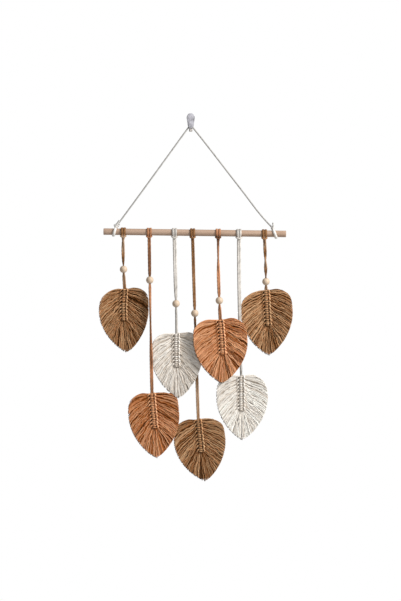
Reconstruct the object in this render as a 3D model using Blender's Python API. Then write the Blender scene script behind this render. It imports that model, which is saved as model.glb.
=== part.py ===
"""A macrame wall hanging: seven combed cotton leaves on beaded cords, knotted to a wooden dowel that hangs
by a thin cord from a small adhesive hook.

Metres, +Z up. The origin is the middle of the back of the hook's adhesive strip. The wall is the plane
Y = 0 and the hanging is in front of it, towards -Y. Tables are in millimetres, and MM turns them to metres.
"""

import math
import random
from types import SimpleNamespace

import bmesh
import bpy
from mathutils import Euler, Matrix, Vector

MM = 0.001
GAP = 0.3 * MM  # left between two pieces that touch

# ---- Driving dimensions -------------------------------------------------------------------------------

DOWEL_LENGTH = 401.5 * MM
DOWEL_RADIUS = 7.2 * MM
DOWEL_CENTRE = Vector((9.0, -16.0, -247.0)) * MM
DOWEL_TILT = math.radians(0.75)  # its right end hangs lower
DOWEL_SIDES = 24
DOWEL_EASE = 0.8 * MM  # chamfer at its ends

HANGER_RADIUS = 1.6 * MM
STRAND_RADIUS = 1.8 * MM  # of one cord of a pendant's pair
BEAD_RADIUS = 8.2 * MM
BEAD_BORE = 3.2 * MM
BEAD_SQUEEZE = 0.76  # the pair is pressed to this share of its width inside the bead
BEAD_SIDES = 12
BEAD_RINGS = 5
CORD_SIDES = 6

SPINE_HALF_WIDTH = 6.4 * MM
SPINE_EDGE = 2.4 * MM  # half the thickness at the spine's sides, where the locks grow
SPINE_KNOT = 5.0 * MM  # how far a knot stands forward of the leaf's middle plane
SPINE_NOTCH = 3.3 * MM  # the same between two knots
SPINE_KNOTS = 8
LOCKS_PER_KNOT = 2  # on each side
FOOT_LOCKS = 5  # on each side, round the spine's lower end
FOOT_TURN = math.radians(84)  # how far round that end they go
ROOT_GAP = 0.5 * MM
RIM_GAP = 0.7 * MM
FIBRE_LIFT = math.radians(10)  # a level fibre leaves the spine this much above the straight way to the rim
FIBRE_DROOP = math.radians(14)  # and meets the rim this much below it; a fibre that points down is straight
LOCK_MIDDLE = 2.6 * MM  # half a lock's thickness halfway along it
LOCK_RIM = 1.7 * MM  # and at its cut end
LOCK_RIDGE = 0.8 * MM  # each lock's upper edge stands this far forward, so locks overlap like slats
LOCK_BACK_RIDGE = 0.4 * MM  # the same at the back
LOCK_TRIM = 0.03  # the most by which a lock is cut shorter than the outline, as a share

# The leaf's outline, as shares of its length and half width.
WIDEST_AT = 0.345
SHOULDER_POWER = 3.5
TAPER_POWER = 1.9
TAPER_ROUND = 0.78
RIM_STARTS_AT = 0.02  # the topmost lock's cut end begins here, past the flat top edge
SIDE_RIM_SHARE = 0.70  # of the rim belongs to the locks of the spine's straight side
RIM_STEPS = 400
DISH_POWER = 1.5

# One row a pendant: its colour, where its cords leave the dowel, its bead, its leaf's top, and the leaf.
# Lean turns the tip to the right. Bow is how far the middle of the spine stands right of a straight line.
PENDANT_COLUMNS = (
    "colour", "rod_x", "bead_x", "bead_y", "bead_z", "top_x", "top_y", "top_z",
    "length", "spine", "lean", "bow", "left", "right", "dish",
)
PENDANTS = (
    ("brown", -148.3, -147.8, -15.0, -327.4, -145.4, -11.5, -370.3, 138.9, 73.0, 2.4, -5.0, 57.5, 56.0, 5.0),
    ("rust", -91.3, -89.8, -23.0, -351.1, -84.9, -25.0, -599.5, 141.0, 80.0, 4.6, 0.3, 56.5, 56.5, 5.0),
    ("white", -35.6, -32.3, -17.0, -403.0, -31.0, -15.0, -468.2, 141.6, 77.0, 2.3, -2.7, 55.5, 57.0, 5.0),
    ("brown", 4.2, 9.0, -11.5, -424.2, 16.7, -11.0, -657.6, 136.1, 76.0, 7.1, -4.2, 58.5, 55.5, 5.0),
    ("rust", 60.3, 62.9, -22.0, -396.2, 64.9, -25.0, -438.0, 138.5, 80.0, 2.2, 2.4, 63.0, 57.0, 5.0),
    ("white", 106.0, 108.9, -16.5, -482.9, 111.3, -14.0, -561.4, 140.4, 80.0, 1.3, -0.8, 57.0, 58.0, 4.0),
    ("brown", 162.1, 165.7, -12.0, -354.4, 166.1, -8.8, -373.1, 142.6, 82.0, 3.2, 3.2, 58.5, 57.0, 3.0),
)
# How the two cords of each pair lie round each other, from the dowel down: at each height in mm, the turn in
# degrees. At 0 and 180 they lie side by side.
TWISTS = (
    ((-262, -65), (-285, 0), (-307, 58), (-345, 165), (-371, 180)),
    ((-262, 0), (-340, 35), (-475, 110), (-520, 165), (-575, 185), (-600, 220)),
    ((-262, 0), (-352, 10), (-390, 75), (-425, 90), (-469, 115)),
    ((-262, 0), (-360, 15), (-424, 40), (-520, 150), (-590, 170), (-658, 215)),
    ((-262, 55), (-300, 85), (-340, 175), (-380, 205), (-420, 350), (-438, 380)),
    ((-262, 0), (-380, 25), (-483, 60), (-540, 75), (-562, 88)),
    ((-262, -40), (-285, 0), (-307, 85), (-322, 160), (-340, 265), (-374, 355)),
)
STRAND_STEP = 18 * MM  # between a pair's sections
PAIR_TURNS = tuple(math.radians(turn) for turn in (0, 36, 90, 144, 180, 216, 270, 324))
PAIR_WAIST = 0.55  # the waist between the two cords, as a share of a cord's radius

# The knot that holds each pair to the dowel.
WRAP_HALF_WIDTH = 2.6 * MM
WRAP_HALF_THICKNESS = 1.3 * MM
WRAP_SPREAD = 2.9 * MM  # from the middle to each of the two wraps
WRAP_DROP = 5.0 * MM  # the wraps are drawn down to a point under the dowel
WRAP_GATHER = 0.5  # and towards each other by this share
WRAP_STEPS = 10
BAR_RADIUS = 1.6 * MM
BAR_HALF_WIDTH = 5.0 * MM
BAR_DEPTH = 8.5 * MM
BAR_FORWARD = 4.6 * MM  # of the dowel's axis at the bar's ends
BAR_BULGE = 1.6 * MM  # and more than that at its middle
BAR_TUCK = 0.8 * MM  # its ends go up beside the dowel
BAR_STEPS = 6
PAIR_FORWARD = 2.5 * MM  # the pair leaves the knot a little in front of the dowel's axis

# The hook, in the wall's plane from its middle: a plate, a crowned seat for the cord, and a lip.
STRIP_WIDTH = 11.0 * MM
STRIP_TOP = 15.0 * MM
STRIP_BOTTOM = -24.0 * MM
STRIP_THICKNESS = 1.0 * MM
TAB_WIDTH = 7.4 * MM  # the strip narrows to its pull tab below the plate
TAB_STARTS = -13.0 * MM
PLATE_BACK = STRIP_THICKNESS + GAP
PLATE_FRONT = 4.0 * MM
PLATE_HEAD_RADIUS = 9.0 * MM
PLATE_HEAD_HEIGHT = 7.5 * MM
PLATE_FOOT_HALF = 6.0 * MM
PLATE_FOOT_HEIGHT = -13.5 * MM
PLATE_FOOT_ROUND = 3.0 * MM
SEAT_RADIUS = 4.6 * MM
SEAT_CENTRE = -19.2 * MM
SEAT_BOTTOM = -16.4 * MM
LIP_BACK = 10.0 * MM
LIP_FRONT = 12.3 * MM
LIP_HALF_WIDTH = 4.4 * MM
LIP_TOP = -1.1 * MM
LIP_ROUND = 3.0 * MM

# The hanging cord's route from the left tie over the hook to the right tie. The ends come from the ties.
HANGER_ROUTE = tuple(
    Vector(point) * MM
    for point in (
        (-140.5, -15.7, -198.9),
        (-110.0, -13.8, -157.6),
        (-78.0, -11.7, -114.2),
        (-46.0, -9.7, -70.7),
        (-22.0, -8.1, -38.1),
        (-9.6, -7.3, -20.9),
        (-5.2, -7.0, -15.1),
        (-2.8, -7.0, -13.2),
        (0.0, -7.0, -12.5),
        (2.8, -7.0, -13.2),
        (5.2, -7.0, -15.1),
        (9.8, -7.3, -20.9),
        (22.6, -8.1, -37.9),
        (48.0, -9.6, -71.2),
        (82.0, -11.6, -115.8),
        (116.0, -13.6, -160.4),
        (151.0, -15.6, -206.3),
    )
)
HANGER_STEP = 3 * 2 * HANGER_RADIUS
HANGER_BEND_STEP = 2.6 * MM
HANGER_BEND_REACH = 9.0 * MM
# One row a tie: where it holds the dowel, how far its wrap slants to the right going down, and its tail.
TIE_COLUMNS = ("name", "x", "slant", "tail_x", "tail_y", "tail_z")
TIES = (
    ("hanger_tie_left", -164.2, -6.0, -167.6, -20.0, -230.4),
    ("hanger_tie_right", 181.6, 6.4, 180.8, -20.0, -225.1),
)
TIE_KNOT_RADIUS = 3.0 * MM
TIE_KNOT_FORWARD = 1.0 * MM
TIE_KNOT_RISE = 1.6 * MM  # above the middle of the wrap's own cord
TIE_STEPS = 14
TIE_TAIL_KICK = Vector((0.6, -3.0, -0.6)) * MM  # the tail leaves the knot forwards, clear of the cord
TIE_TAIL_TAPER = 0.8

COLOURS = {
    "brown": (0.36, 0.20, 0.09),
    "rust": (0.53, 0.19, 0.07),
    "white": (0.73, 0.69, 0.63),
    "bead": (0.80, 0.66, 0.45),
    "dowel": (0.54, 0.36, 0.25),
    "hanger": (0.50, 0.49, 0.44),
    "hook": (0.66, 0.67, 0.71),
    "strip": (0.45, 0.40, 0.36),
}
ROUGHNESS = {"bead": 0.5, "dowel": 0.6, "hook": 0.15, "strip": 0.6}
COTTON_ROUGHNESS = 0.9


# ---- Helpers ------------------------------------------------------------------------------------------

def rows(columns, table):
    """A table's rows, with their columns as named values."""
    return [SimpleNamespace(**dict(zip(columns, row))) for row in table]


def ease(t):
    """0 to 1 with level ends."""
    t = min(max(t, 0.0), 1.0)
    return t * t * (3 - 2 * t)


def through(knots, at):
    """A table of (place, value) read at one place, straight between its rows, held past its ends."""
    low = min(knots)
    if at <= low[0]:
        return low[1]
    for (a, value_a), (b, value_b) in zip(sorted(knots), sorted(knots)[1:]):
        if at <= b:
            return value_a + (value_b - value_a) * (at - a) / (b - a)
    return max(knots)[1]


def parabola(places, values, at):
    """The quadratic through three points, read at one place."""
    (a, b, c), (p, q, r) = places, values
    first = (q - p) / (b - a)
    second = ((r - q) / (c - b) - first) / (c - a)
    return p + first * (at - a) + second * (at - a) * (at - b)


def material(name):
    if name in bpy.data.materials:
        return bpy.data.materials[name]
    made = bpy.data.materials.new(name)
    made.use_nodes = True
    shader = made.node_tree.nodes["Principled BSDF"]
    shader.inputs["Base Color"].default_value = (*COLOURS[name], 1)
    shader.inputs["Roughness"].default_value = ROUGHNESS.get(name, COTTON_ROUGHNESS)
    return made


def finished(name, bm, finish, smooth_below=None):
    """Closes off a bmesh as a named object with its material, its faces turned outwards."""
    bmesh.ops.recalc_face_normals(bm, faces=bm.faces)
    mesh = bpy.data.meshes.new(name)
    bm.to_mesh(mesh)
    bm.free()
    mesh.materials.append(material(finish))
    if smooth_below is not None:
        mesh.shade_smooth()
        mesh.set_sharp_from_angle(angle=math.radians(smooth_below))
    made = bpy.data.objects.new(name, mesh)
    bpy.context.scene.collection.objects.link(made)
    return made


def fuse(body, *parts):
    """Unites closed shapes with a body. The shapes stay as hidden guides."""
    for part in parts:
        part.hide_render = True
        part.display_type = "WIRE"
        union = body.modifiers.new(part.name, "BOOLEAN")
        union.operation = "UNION"
        union.solver = "EXACT"
        union.object = part


def loft(bm, rings):
    """Extrudes a first ring of points through the others and caps both ends. Gives the rings' vertices."""
    lofted = [[bm.verts.new(point) for point in rings[0]]]
    face = bm.faces.new(lofted[0])
    for ring in rings[1:]:
        face = bmesh.ops.extrude_discrete_faces(bm, faces=[face])["faces"][0]
        for vert, point in zip(face.verts, ring):
            vert.co = point
        lofted.append(list(face.verts))
    bm.faces.new(list(reversed(lofted[0])))
    return lofted


def loop_round(bm, rings):
    """A closed hoop through rings of points, each ring bridged to the next and the last to the first."""
    made = [[bm.verts.new(point) for point in ring] for ring in rings]
    edges = [[bm.edges.new((a, b)) for a, b in zip(ring, ring[1:] + ring[:1])] for ring in made]
    for near, far in zip(edges, edges[1:] + edges[:1]):
        bmesh.ops.bridge_loops(bm, edges=near + far)


def section(centre, tangent, across, half_width, half_thickness):
    """An oval ring of points square to a path, its width along `across`."""
    tangent = tangent.normalized()
    wide = (across - tangent * across.dot(tangent)).normalized()
    deep = tangent.cross(wide)
    turns = [2 * math.pi * (k + 0.5) / CORD_SIDES for k in range(CORD_SIDES)]
    return [centre + wide * half_width * math.cos(a) + deep * half_thickness * math.sin(a) for a in turns]


def tube(bm, path, radius, taper=1.0):
    """A capped tube along a short path of points, thinner at its far end by `taper`."""
    off_every_path = Vector((0.31, 0.9, 0.27))
    rings = []
    for k, point in enumerate(path):
        tangent = path[min(k + 1, len(path) - 1)] - path[max(k - 1, 0)]
        thick = radius * (1 + (taper - 1) * k / (len(path) - 1))
        rings.append(section(point, tangent, off_every_path, thick, thick))
    loft(bm, rings)


def smooth_curve(points, steps=24):
    """A fine polyline on the centripetal Catmull-Rom curve through the points."""
    ends = [points[0] * 2 - points[1], *points, points[-1] * 2 - points[-2]]
    line = []
    for p0, p1, p2, p3 in zip(ends, ends[1:], ends[2:], ends[3:]):
        t1 = (p1 - p0).length ** 0.5
        t2 = t1 + (p2 - p1).length ** 0.5
        t3 = t2 + (p3 - p2).length ** 0.5
        for k in range(steps):
            t = t1 + (t2 - t1) * k / steps
            a1 = p0 * ((t1 - t) / t1) + p1 * (t / t1)
            a2 = p1 * ((t2 - t) / (t2 - t1)) + p2 * ((t - t1) / (t2 - t1))
            a3 = p2 * ((t3 - t) / (t3 - t2)) + p3 * ((t - t2) / (t3 - t2))
            b1 = a1 * ((t2 - t) / t2) + a2 * (t / t2)
            b2 = a2 * ((t3 - t) / (t3 - t1)) + a3 * ((t - t1) / (t3 - t1))
            line.append(b1 * ((t2 - t) / (t2 - t1)) + b2 * ((t - t1) / (t2 - t1)))
    return line + [points[-1].copy()]


def dowel_height(x):
    return DOWEL_CENTRE.z - (x - DOWEL_CENTRE.x) * math.tan(DOWEL_TILT)


# ---- Hook and dowel -----------------------------------------------------------------------------------

def prism(name, outline, back, front, finish, smooth_below=None):
    """An outline in the wall's plane, extruded from one depth to another in front of the wall."""
    bm = bmesh.new()
    loft(bm, [[Vector((x, -depth, z)) for x, z in outline] for depth in (back, front)])
    return finished(name, bm, finish, smooth_below)


def arc(centre_x, centre_z, radius_x, radius_z, start, end, steps):
    """Points on an oval arc, in degrees from +X towards +Z."""
    turns = [math.radians(start + (end - start) * k / steps) for k in range(steps + 1)]
    return [(centre_x + radius_x * math.cos(a), centre_z + radius_z * math.sin(a)) for a in turns]


def make_hook():
    plate_outline = arc(0, PLATE_HEAD_HEIGHT, PLATE_HEAD_RADIUS, PLATE_HEAD_RADIUS, 0, 180, 12)
    plate_outline += arc(0, PLATE_FOOT_HEIGHT, PLATE_FOOT_HALF, PLATE_FOOT_ROUND, 180, 360, 8)
    plate = prism("hook", plate_outline, PLATE_BACK, PLATE_FRONT, "hook", 40)
    half_span = math.degrees(math.acos((SEAT_BOTTOM - SEAT_CENTRE) / SEAT_RADIUS))
    seat_outline = arc(0, SEAT_CENTRE, SEAT_RADIUS, SEAT_RADIUS, 90 - half_span, 90 + half_span, 6)
    overlap = 0.5 * MM
    seat = prism("hook_seat", seat_outline, PLATE_FRONT - overlap, LIP_BACK + overlap, "hook")
    lip_outline = arc(0, LIP_TOP - LIP_ROUND, LIP_HALF_WIDTH, LIP_ROUND, 0, 180, 8)
    lip_outline += arc(0, SEAT_BOTTOM + LIP_ROUND, LIP_HALF_WIDTH, LIP_ROUND, 180, 360, 8)
    lip = prism("hook_lip", lip_outline, LIP_BACK, LIP_FRONT, "hook")
    fuse(plate, seat, lip)


def make_strip():
    half, tab = STRIP_WIDTH / 2, TAB_WIDTH / 2
    outline = arc(0, STRIP_TOP - half, half, half, 0, 180, 8)
    outline += [(-half, TAB_STARTS), (-tab, TAB_STARTS), (-tab, STRIP_BOTTOM)]
    outline += [(tab, STRIP_BOTTOM), (tab, TAB_STARTS), (half, TAB_STARTS)]
    prism("hook_strip", outline, 0.0, STRIP_THICKNESS, "strip")


def make_dowel():
    bm = bmesh.new()
    bmesh.ops.create_cone(
        bm, cap_ends=True, segments=DOWEL_SIDES, depth=DOWEL_LENGTH,
        radius1=DOWEL_RADIUS, radius2=DOWEL_RADIUS,
    )
    rims = [e for e in bm.edges if abs(e.verts[0].co.z - e.verts[1].co.z) < GAP]
    bmesh.ops.bevel(bm, geom=rims, offset=DOWEL_EASE, segments=1, affect="EDGES", profile=0.5)
    dowel = finished("dowel", bm, "dowel", 30)
    dowel.location = DOWEL_CENTRE
    dowel.rotation_euler = Euler((0, math.pi / 2 + DOWEL_TILT, 0))


# ---- Hanging cord and its ties ------------------------------------------------------------------------

def tie_knot_centre(tie):
    """The knot sits on top of the wrap."""
    rise = DOWEL_RADIUS + GAP + HANGER_RADIUS + TIE_KNOT_RISE
    return Vector((tie.x * MM, DOWEL_CENTRE.y - TIE_KNOT_FORWARD, dowel_height(tie.x * MM) + rise))


def make_tie(tie):
    reach = (DOWEL_RADIUS + GAP + HANGER_RADIUS) / math.cos(math.pi / TIE_STEPS)
    path = []
    for k in range(TIE_STEPS):
        turn = 2 * math.pi * k / TIE_STEPS
        x = tie.x * MM + tie.slant * MM * (1 - math.cos(turn)) / 2
        y = DOWEL_CENTRE.y - reach * math.sin(turn)
        path.append(Vector((x, y, dowel_height(x) + reach * math.cos(turn))))
    rings = []
    for k, point in enumerate(path):
        tangent = path[(k + 1) % TIE_STEPS] - path[k - 1]
        rings.append(section(point, tangent, Vector((1, 0, 0)), HANGER_RADIUS, HANGER_RADIUS))
    bm = bmesh.new()
    loop_round(bm, rings)
    wrap = finished(tie.name, bm, "hanger", 50)

    centre = tie_knot_centre(tie)
    bm = bmesh.new()
    bmesh.ops.create_icosphere(bm, subdivisions=1, radius=TIE_KNOT_RADIUS, matrix=Matrix.Translation(centre))
    knot = finished(tie.name + "_knot", bm, "hanger")

    tip = Vector((tie.tail_x, tie.tail_y, tie.tail_z)) * MM
    bm = bmesh.new()
    tube(bm, [centre, centre.lerp(tip, 0.25) + TIE_TAIL_KICK, tip], HANGER_RADIUS, TIE_TAIL_TAPER)
    tail = finished(tie.name + "_tail", bm, "hanger")
    fuse(wrap, knot, tail)


def make_hanger_cord(ties):
    """The cord runs face to face with the knot of each tie."""
    ends = []
    for tie, toward in zip(ties, (HANGER_ROUTE[0], HANGER_ROUTE[-1])):
        centre = tie_knot_centre(tie)
        away = (toward - centre).normalized()
        ends.append(centre + away * (TIE_KNOT_RADIUS + GAP))
    line = smooth_curve([ends[0], *HANGER_ROUTE, ends[1]])
    crest = max(line, key=lambda point: point.z)
    kept = [line[0]]
    for point in line[1:-1]:
        near_bend = (point - crest).length < HANGER_BEND_REACH
        if (point - kept[-1]).length >= (HANGER_BEND_STEP if near_bend else HANGER_STEP):
            kept.append(point)
    kept.append(line[-1])
    curve = bpy.data.curves.new("hanger_cord", "CURVE")
    curve.dimensions = "3D"
    curve.bevel_depth = HANGER_RADIUS
    curve.bevel_resolution = 2
    curve.use_fill_caps = True
    spline = curve.splines.new("POLY")
    spline.points.add(len(kept) - 1)
    for place, point in zip(spline.points, kept):
        place.co = (*point, 1)
    curve.materials.append(material("hanger"))
    made = bpy.data.objects.new("hanger_cord", curve)
    bpy.context.scene.collection.objects.link(made)


# ---- Pendant cords and beads --------------------------------------------------------------------------

def pair_centre(pendant, z):
    """The middle of a pendant's two cords at a height."""
    start = dowel_height(pendant.rod_x * MM) - DOWEL_RADIUS
    heights = (start, pendant.bead_z * MM, pendant.top_z * MM)
    across = (pendant.rod_x * MM, pendant.bead_x * MM, pendant.top_x * MM)
    outward = (DOWEL_CENTRE.y - PAIR_FORWARD, pendant.bead_y * MM, pendant.top_y * MM)
    return Vector((parabola(heights, across, z), parabola(heights, outward, z), z))


def pair_ring(pendant, twist, z):
    """The outline round two cords that touch: each point's reach follows both circles, with a waist."""
    away = abs(z - pendant.bead_z * MM)
    squeeze = BEAD_SQUEEZE + (1 - BEAD_SQUEEZE) * ease((away - BEAD_RADIUS) / BEAD_RADIUS)
    turned = math.radians(through(twist, z / MM))
    centre = pair_centre(pendant, z)
    ring = []
    for angle in PAIR_TURNS:
        reach = STRAND_RADIUS * squeeze * max(2 * abs(math.cos(angle)), PAIR_WAIST)
        ring.append(centre + Vector((math.cos(angle + turned), math.sin(angle + turned), 0)) * reach)
    return ring


def make_wrap(name, pendant, side):
    """One of the two wraps over the dowel, drawn down to a point underneath."""
    reach = (DOWEL_RADIUS + GAP + WRAP_HALF_THICKNESS) / math.cos(math.pi / WRAP_STEPS)
    path = []
    for k in range(WRAP_STEPS):
        turn = 2 * math.pi * (k + 0.5) / WRAP_STEPS
        under = max(math.cos(turn), 0)
        x = pendant.rod_x * MM + side * WRAP_SPREAD * (1 - WRAP_GATHER * under ** 4)
        z = dowel_height(x) - reach * math.cos(turn) - WRAP_DROP * under ** 6
        path.append(Vector((x, DOWEL_CENTRE.y - reach * math.sin(turn), z)))
    rings = []
    for k, point in enumerate(path):
        tangent = path[(k + 1) % WRAP_STEPS] - path[k - 1]
        rings.append(section(point, tangent, Vector((1, 0, 0)), WRAP_HALF_WIDTH, WRAP_HALF_THICKNESS))
    bm = bmesh.new()
    loop_round(bm, rings)
    return finished(name, bm, pendant.colour)


def make_strand(number, pendant, twist):
    """Two wraps over the dowel, a bar across them, and the pair of cords down through the bead."""
    top = dowel_height(pendant.rod_x * MM) - DOWEL_RADIUS - WRAP_HALF_THICKNESS * 2
    bottom = pendant.top_z * MM + GAP + 2 * STRAND_RADIUS * math.sin(math.radians(pendant.lean))
    bead = pendant.bead_z * MM
    stretches = (
        (top, bead + 2 * BEAD_RADIUS), (bead + BEAD_RADIUS, bead - BEAD_RADIUS), (bead - 2 * BEAD_RADIUS, bottom),
    )
    heights = []
    for high, low in stretches:
        steps = max(1, round((high - low) / STRAND_STEP))
        heights += [high + (low - high) * k / steps for k in range(steps + 1)]
    heights = [z for z in heights if z > bottom + GAP] + [bottom]
    bm = bmesh.new()
    loft(bm, [pair_ring(pendant, twist, z) for z in heights])
    pair = finished(f"strand_{number}", bm, pendant.colour, 60)

    wraps = [make_wrap(f"strand_{number}_wrap_{word}", pendant, side) for word, side in (("a", -1), ("b", 1))]
    below = DOWEL_RADIUS + GAP + BAR_RADIUS - BAR_TUCK
    path = []
    for k in range(BAR_STEPS + 1):
        turn = math.pi * k / BAR_STEPS
        x = pendant.rod_x * MM - BAR_HALF_WIDTH * math.cos(turn)
        y = DOWEL_CENTRE.y - BAR_FORWARD - BAR_BULGE * math.sin(turn)
        path.append(Vector((x, y, dowel_height(x) - below - BAR_DEPTH * math.sin(turn))))
    bm = bmesh.new()
    tube(bm, path, BAR_RADIUS)
    bar = finished(f"strand_{number}_bar", bm, pendant.colour)
    fuse(pair, *wraps, bar)


def make_bead(number, pendant):
    """A turned ball with a bore, on the line of its cords."""
    start = math.asin(BEAD_BORE / BEAD_RADIUS)
    turns = [start + (math.pi - 2 * start) * k / BEAD_RINGS for k in range(BEAD_RINGS + 1)]
    bm = bmesh.new()
    profile = [bm.verts.new((BEAD_RADIUS * math.sin(a), 0, BEAD_RADIUS * math.cos(a))) for a in turns]
    edges = [bm.edges.new(pair) for pair in zip(profile, profile[1:] + profile[:1])]
    bmesh.ops.spin(
        bm, geom=profile + edges, axis=(0, 0, 1), cent=(0, 0, 0), angle=2 * math.pi,
        steps=BEAD_SIDES, use_merge=True,
    )
    bmesh.ops.remove_doubles(bm, verts=bm.verts, dist=0.01 * MM)
    bead = finished(f"bead_{number}", bm, "bead", 50)
    middle = pendant.bead_z * MM
    along = pair_centre(pendant, middle + MM) - pair_centre(pendant, middle - MM)
    bead.location = pair_centre(pendant, middle)
    bead.rotation_euler = along.to_track_quat("Z", "Y").to_euler()


# ---- Leaves -------------------------------------------------------------------------------------------

def leaf_point(pendant, across, down, forward):
    """A place on a leaf, from its top: across to the right, down its length, forward of its middle plane."""
    length = pendant.length * MM
    share = min(max(down / length, 0), 1)
    across += pendant.bow * MM * 4 * share * (1 - share)
    half = (pendant.right if across > 0 else pendant.left) * MM
    forward += pendant.dish * MM * (abs(across) / half) ** DISH_POWER
    lean = math.radians(pendant.lean)
    x = across * math.cos(lean) + down * math.sin(lean)
    z = across * math.sin(lean) - down * math.cos(lean)
    return Vector((pendant.top_x * MM + x, pendant.top_y * MM - forward, pendant.top_z * MM + z))


def half_width(share):
    """The outline's half width, 1 at the widest, at a share of the leaf's length."""
    if share < WIDEST_AT:
        return (1 - (1 - share / WIDEST_AT) ** SHOULDER_POWER) ** (1 / SHOULDER_POWER)
    past = min((share - WIDEST_AT) / (1 - WIDEST_AT), 1)
    return (1 - past ** TAPER_POWER) ** TAPER_ROUND


def rim_line(length, width):
    """The rim of one half from the shoulder to the tip, with the distance run at each point."""
    points, run = [], [0.0]
    for k in range(RIM_STEPS + 1):
        share = RIM_STARTS_AT + (1 - RIM_STARTS_AT) * k / RIM_STEPS
        points.append(Vector((width * half_width(share), length * share)))
        if k:
            run.append(run[-1] + (points[-1] - points[-2]).length)
    return points, run


def on_line(points, run, distance):
    distance = min(max(distance, 0), run[-1])
    for k in range(1, len(run)):
        if distance <= run[k]:
            return points[k - 1].lerp(points[k], (distance - run[k - 1]) / (run[k] - run[k - 1]))
    return points[-1]


def fibre(root, rim):
    """A fibre's Bezier from the spine to the rim: it leaves lifted and droops to its end."""
    way = rim - root
    straight = math.atan2(way.y, way.x)
    leaving = straight - FIBRE_LIFT * math.cos(straight)
    landing = straight + FIBRE_DROOP * math.cos(straight)
    first = root + Vector((math.cos(leaving), math.sin(leaving))) * way.length / 3
    second = rim - Vector((math.cos(landing), math.sin(landing))) * way.length / 3
    return lambda t: (
        root * (1 - t) ** 3 + first * 3 * t * (1 - t) ** 2 + second * 3 * t ** 2 * (1 - t) + rim * t ** 3
    )


def spine_stations(pendant):
    """Down the spine: (half width, distance down, forward reach), at the upper and lower side of each lock."""
    spine = pendant.spine * MM
    straight = spine - SPINE_HALF_WIDTH
    side_locks = SPINE_KNOTS * LOCKS_PER_KNOT
    pitch = straight / side_locks
    stations = []
    for k in range(side_locks):
        for edge in (k * pitch + (ROOT_GAP / 2 if k else 0), (k + 1) * pitch - ROOT_GAP / 2):
            phase = 2 * math.pi * edge / (pitch * LOCKS_PER_KNOT)
            height = SPINE_NOTCH + (SPINE_KNOT - SPINE_NOTCH) * (1 - math.cos(phase)) / 2
            stations.append((SPINE_HALF_WIDTH, edge, height))
    lock_turn = FOOT_TURN / FOOT_LOCKS
    gap_turn = ROOT_GAP / SPINE_HALF_WIDTH
    for k in range(FOOT_LOCKS):
        for turn in (k * lock_turn + gap_turn / 2, (k + 1) * lock_turn - gap_turn / 2):
            width = SPINE_HALF_WIDTH * math.cos(turn)
            stations.append((width, straight + SPINE_HALF_WIDTH * math.sin(turn), SPINE_NOTCH))
    return stations


def lock_spans(pendant, side_run):
    """Each lock's stretch of the rim, from its upper to its lower edge."""
    side_locks = SPINE_KNOTS * LOCKS_PER_KNOT
    ends = [side_run * SIDE_RIM_SHARE * k / side_locks for k in range(side_locks)]
    foot = side_run * (1 - SIDE_RIM_SHARE)
    ends += [side_run - foot * (1 - k / FOOT_LOCKS) for k in range(FOOT_LOCKS + 1)]
    return [(a + (RIM_GAP / 2 if k else 0), b - RIM_GAP / 2) for k, (a, b) in enumerate(zip(ends, ends[1:]))]


def grow_lock(bm, face, corners, sections):
    """Draws a root face out through its sections. Each vertex keeps its corner of the section."""
    for places in sections:
        face = bmesh.ops.extrude_discrete_faces(bm, faces=[face])["faces"][0]
        for vert, corner in zip(face.verts, corners):
            vert.co = places[corner]


def cut(along, t, trim):
    """A place on a fibre that is trimmed shorter towards its end."""
    return along(t * (1 - trim * t))


def lock_sections(pendant, side, fibres, fine, trim):
    """The corners of a lock's sections out from its root, between its upper and lower fibres.

    The topmost lock's upper edge is the leaf's rounded shoulder, so it has more sections. Its lower edge
    keeps the straight lines of the lock below it.
    """
    upper, lower = fibres
    steps = (0.25, 0.5, 0.75, 1.0) if fine else (0.5, 1.0)
    sections = []
    for t in steps:
        thick = LOCK_MIDDLE + (LOCK_RIM - LOCK_MIDDLE) * max(2 * t - 1, 0)
        rise = min(2 * t, 1)
        half = 0.0 if t < 0.5 else 0.5
        straight = cut(lower, half, trim).lerp(cut(lower, half + 0.5, trim), (t - half) * 2)
        places = {}
        for edge, at, lift in (("upper", cut(upper, t, trim), rise), ("lower", straight, -rise)):
            front = thick + LOCK_RIDGE * lift
            back = LOCK_BACK_RIDGE * lift - thick
            places[edge, "front"] = leaf_point(pendant, side * at.x, at.y, front)
            places[edge, "back"] = leaf_point(pendant, side * at.x, at.y, back)
        sections.append(places)
    return sections


def make_leaf(number, pendant):
    """A spine of knots, with a lock drawn out of each root face down both of its sides."""
    uneven = random.Random(number)
    stations = spine_stations(pendant)
    rings = []
    for width, down, height in stations:
        outline = (
            (-width, SPINE_EDGE), (0, height), (width, SPINE_EDGE),
            (width, -SPINE_EDGE), (-width, -SPINE_EDGE),
        )
        rings.append([leaf_point(pendant, across, down, forward) for across, forward in outline])
    bm = bmesh.new()
    spine = loft(bm, rings)
    for side, front, back in ((-1, 0, 4), (1, 2, 3)):
        width = (pendant.right if side > 0 else pendant.left) * MM
        points, run = rim_line(pendant.length * MM, width)
        spans = lock_spans(pendant, run[-1])
        for k, (start, end) in enumerate(spans):
            high, low = spine[2 * k], spine[2 * k + 1]
            keys = {
                high[front]: ("upper", "front"), low[front]: ("lower", "front"),
                low[back]: ("lower", "back"), high[back]: ("upper", "back"),
            }
            face = bm.faces.get(list(keys))
            corners = [keys[vert] for vert in face.verts]
            fibres = []
            for station, distance in ((stations[2 * k], start), (stations[2 * k + 1], end)):
                fibres.append(fibre(Vector(station[:2]), on_line(points, run, distance)))
            trim = 0 if k == 0 else uneven.uniform(0, LOCK_TRIM)
            grow_lock(bm, face, corners, lock_sections(pendant, side, fibres, k == 0, trim))
    finished(f"leaf_{number}", bm, pendant.colour)


# ---- The whole hanging --------------------------------------------------------------------------------

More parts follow.
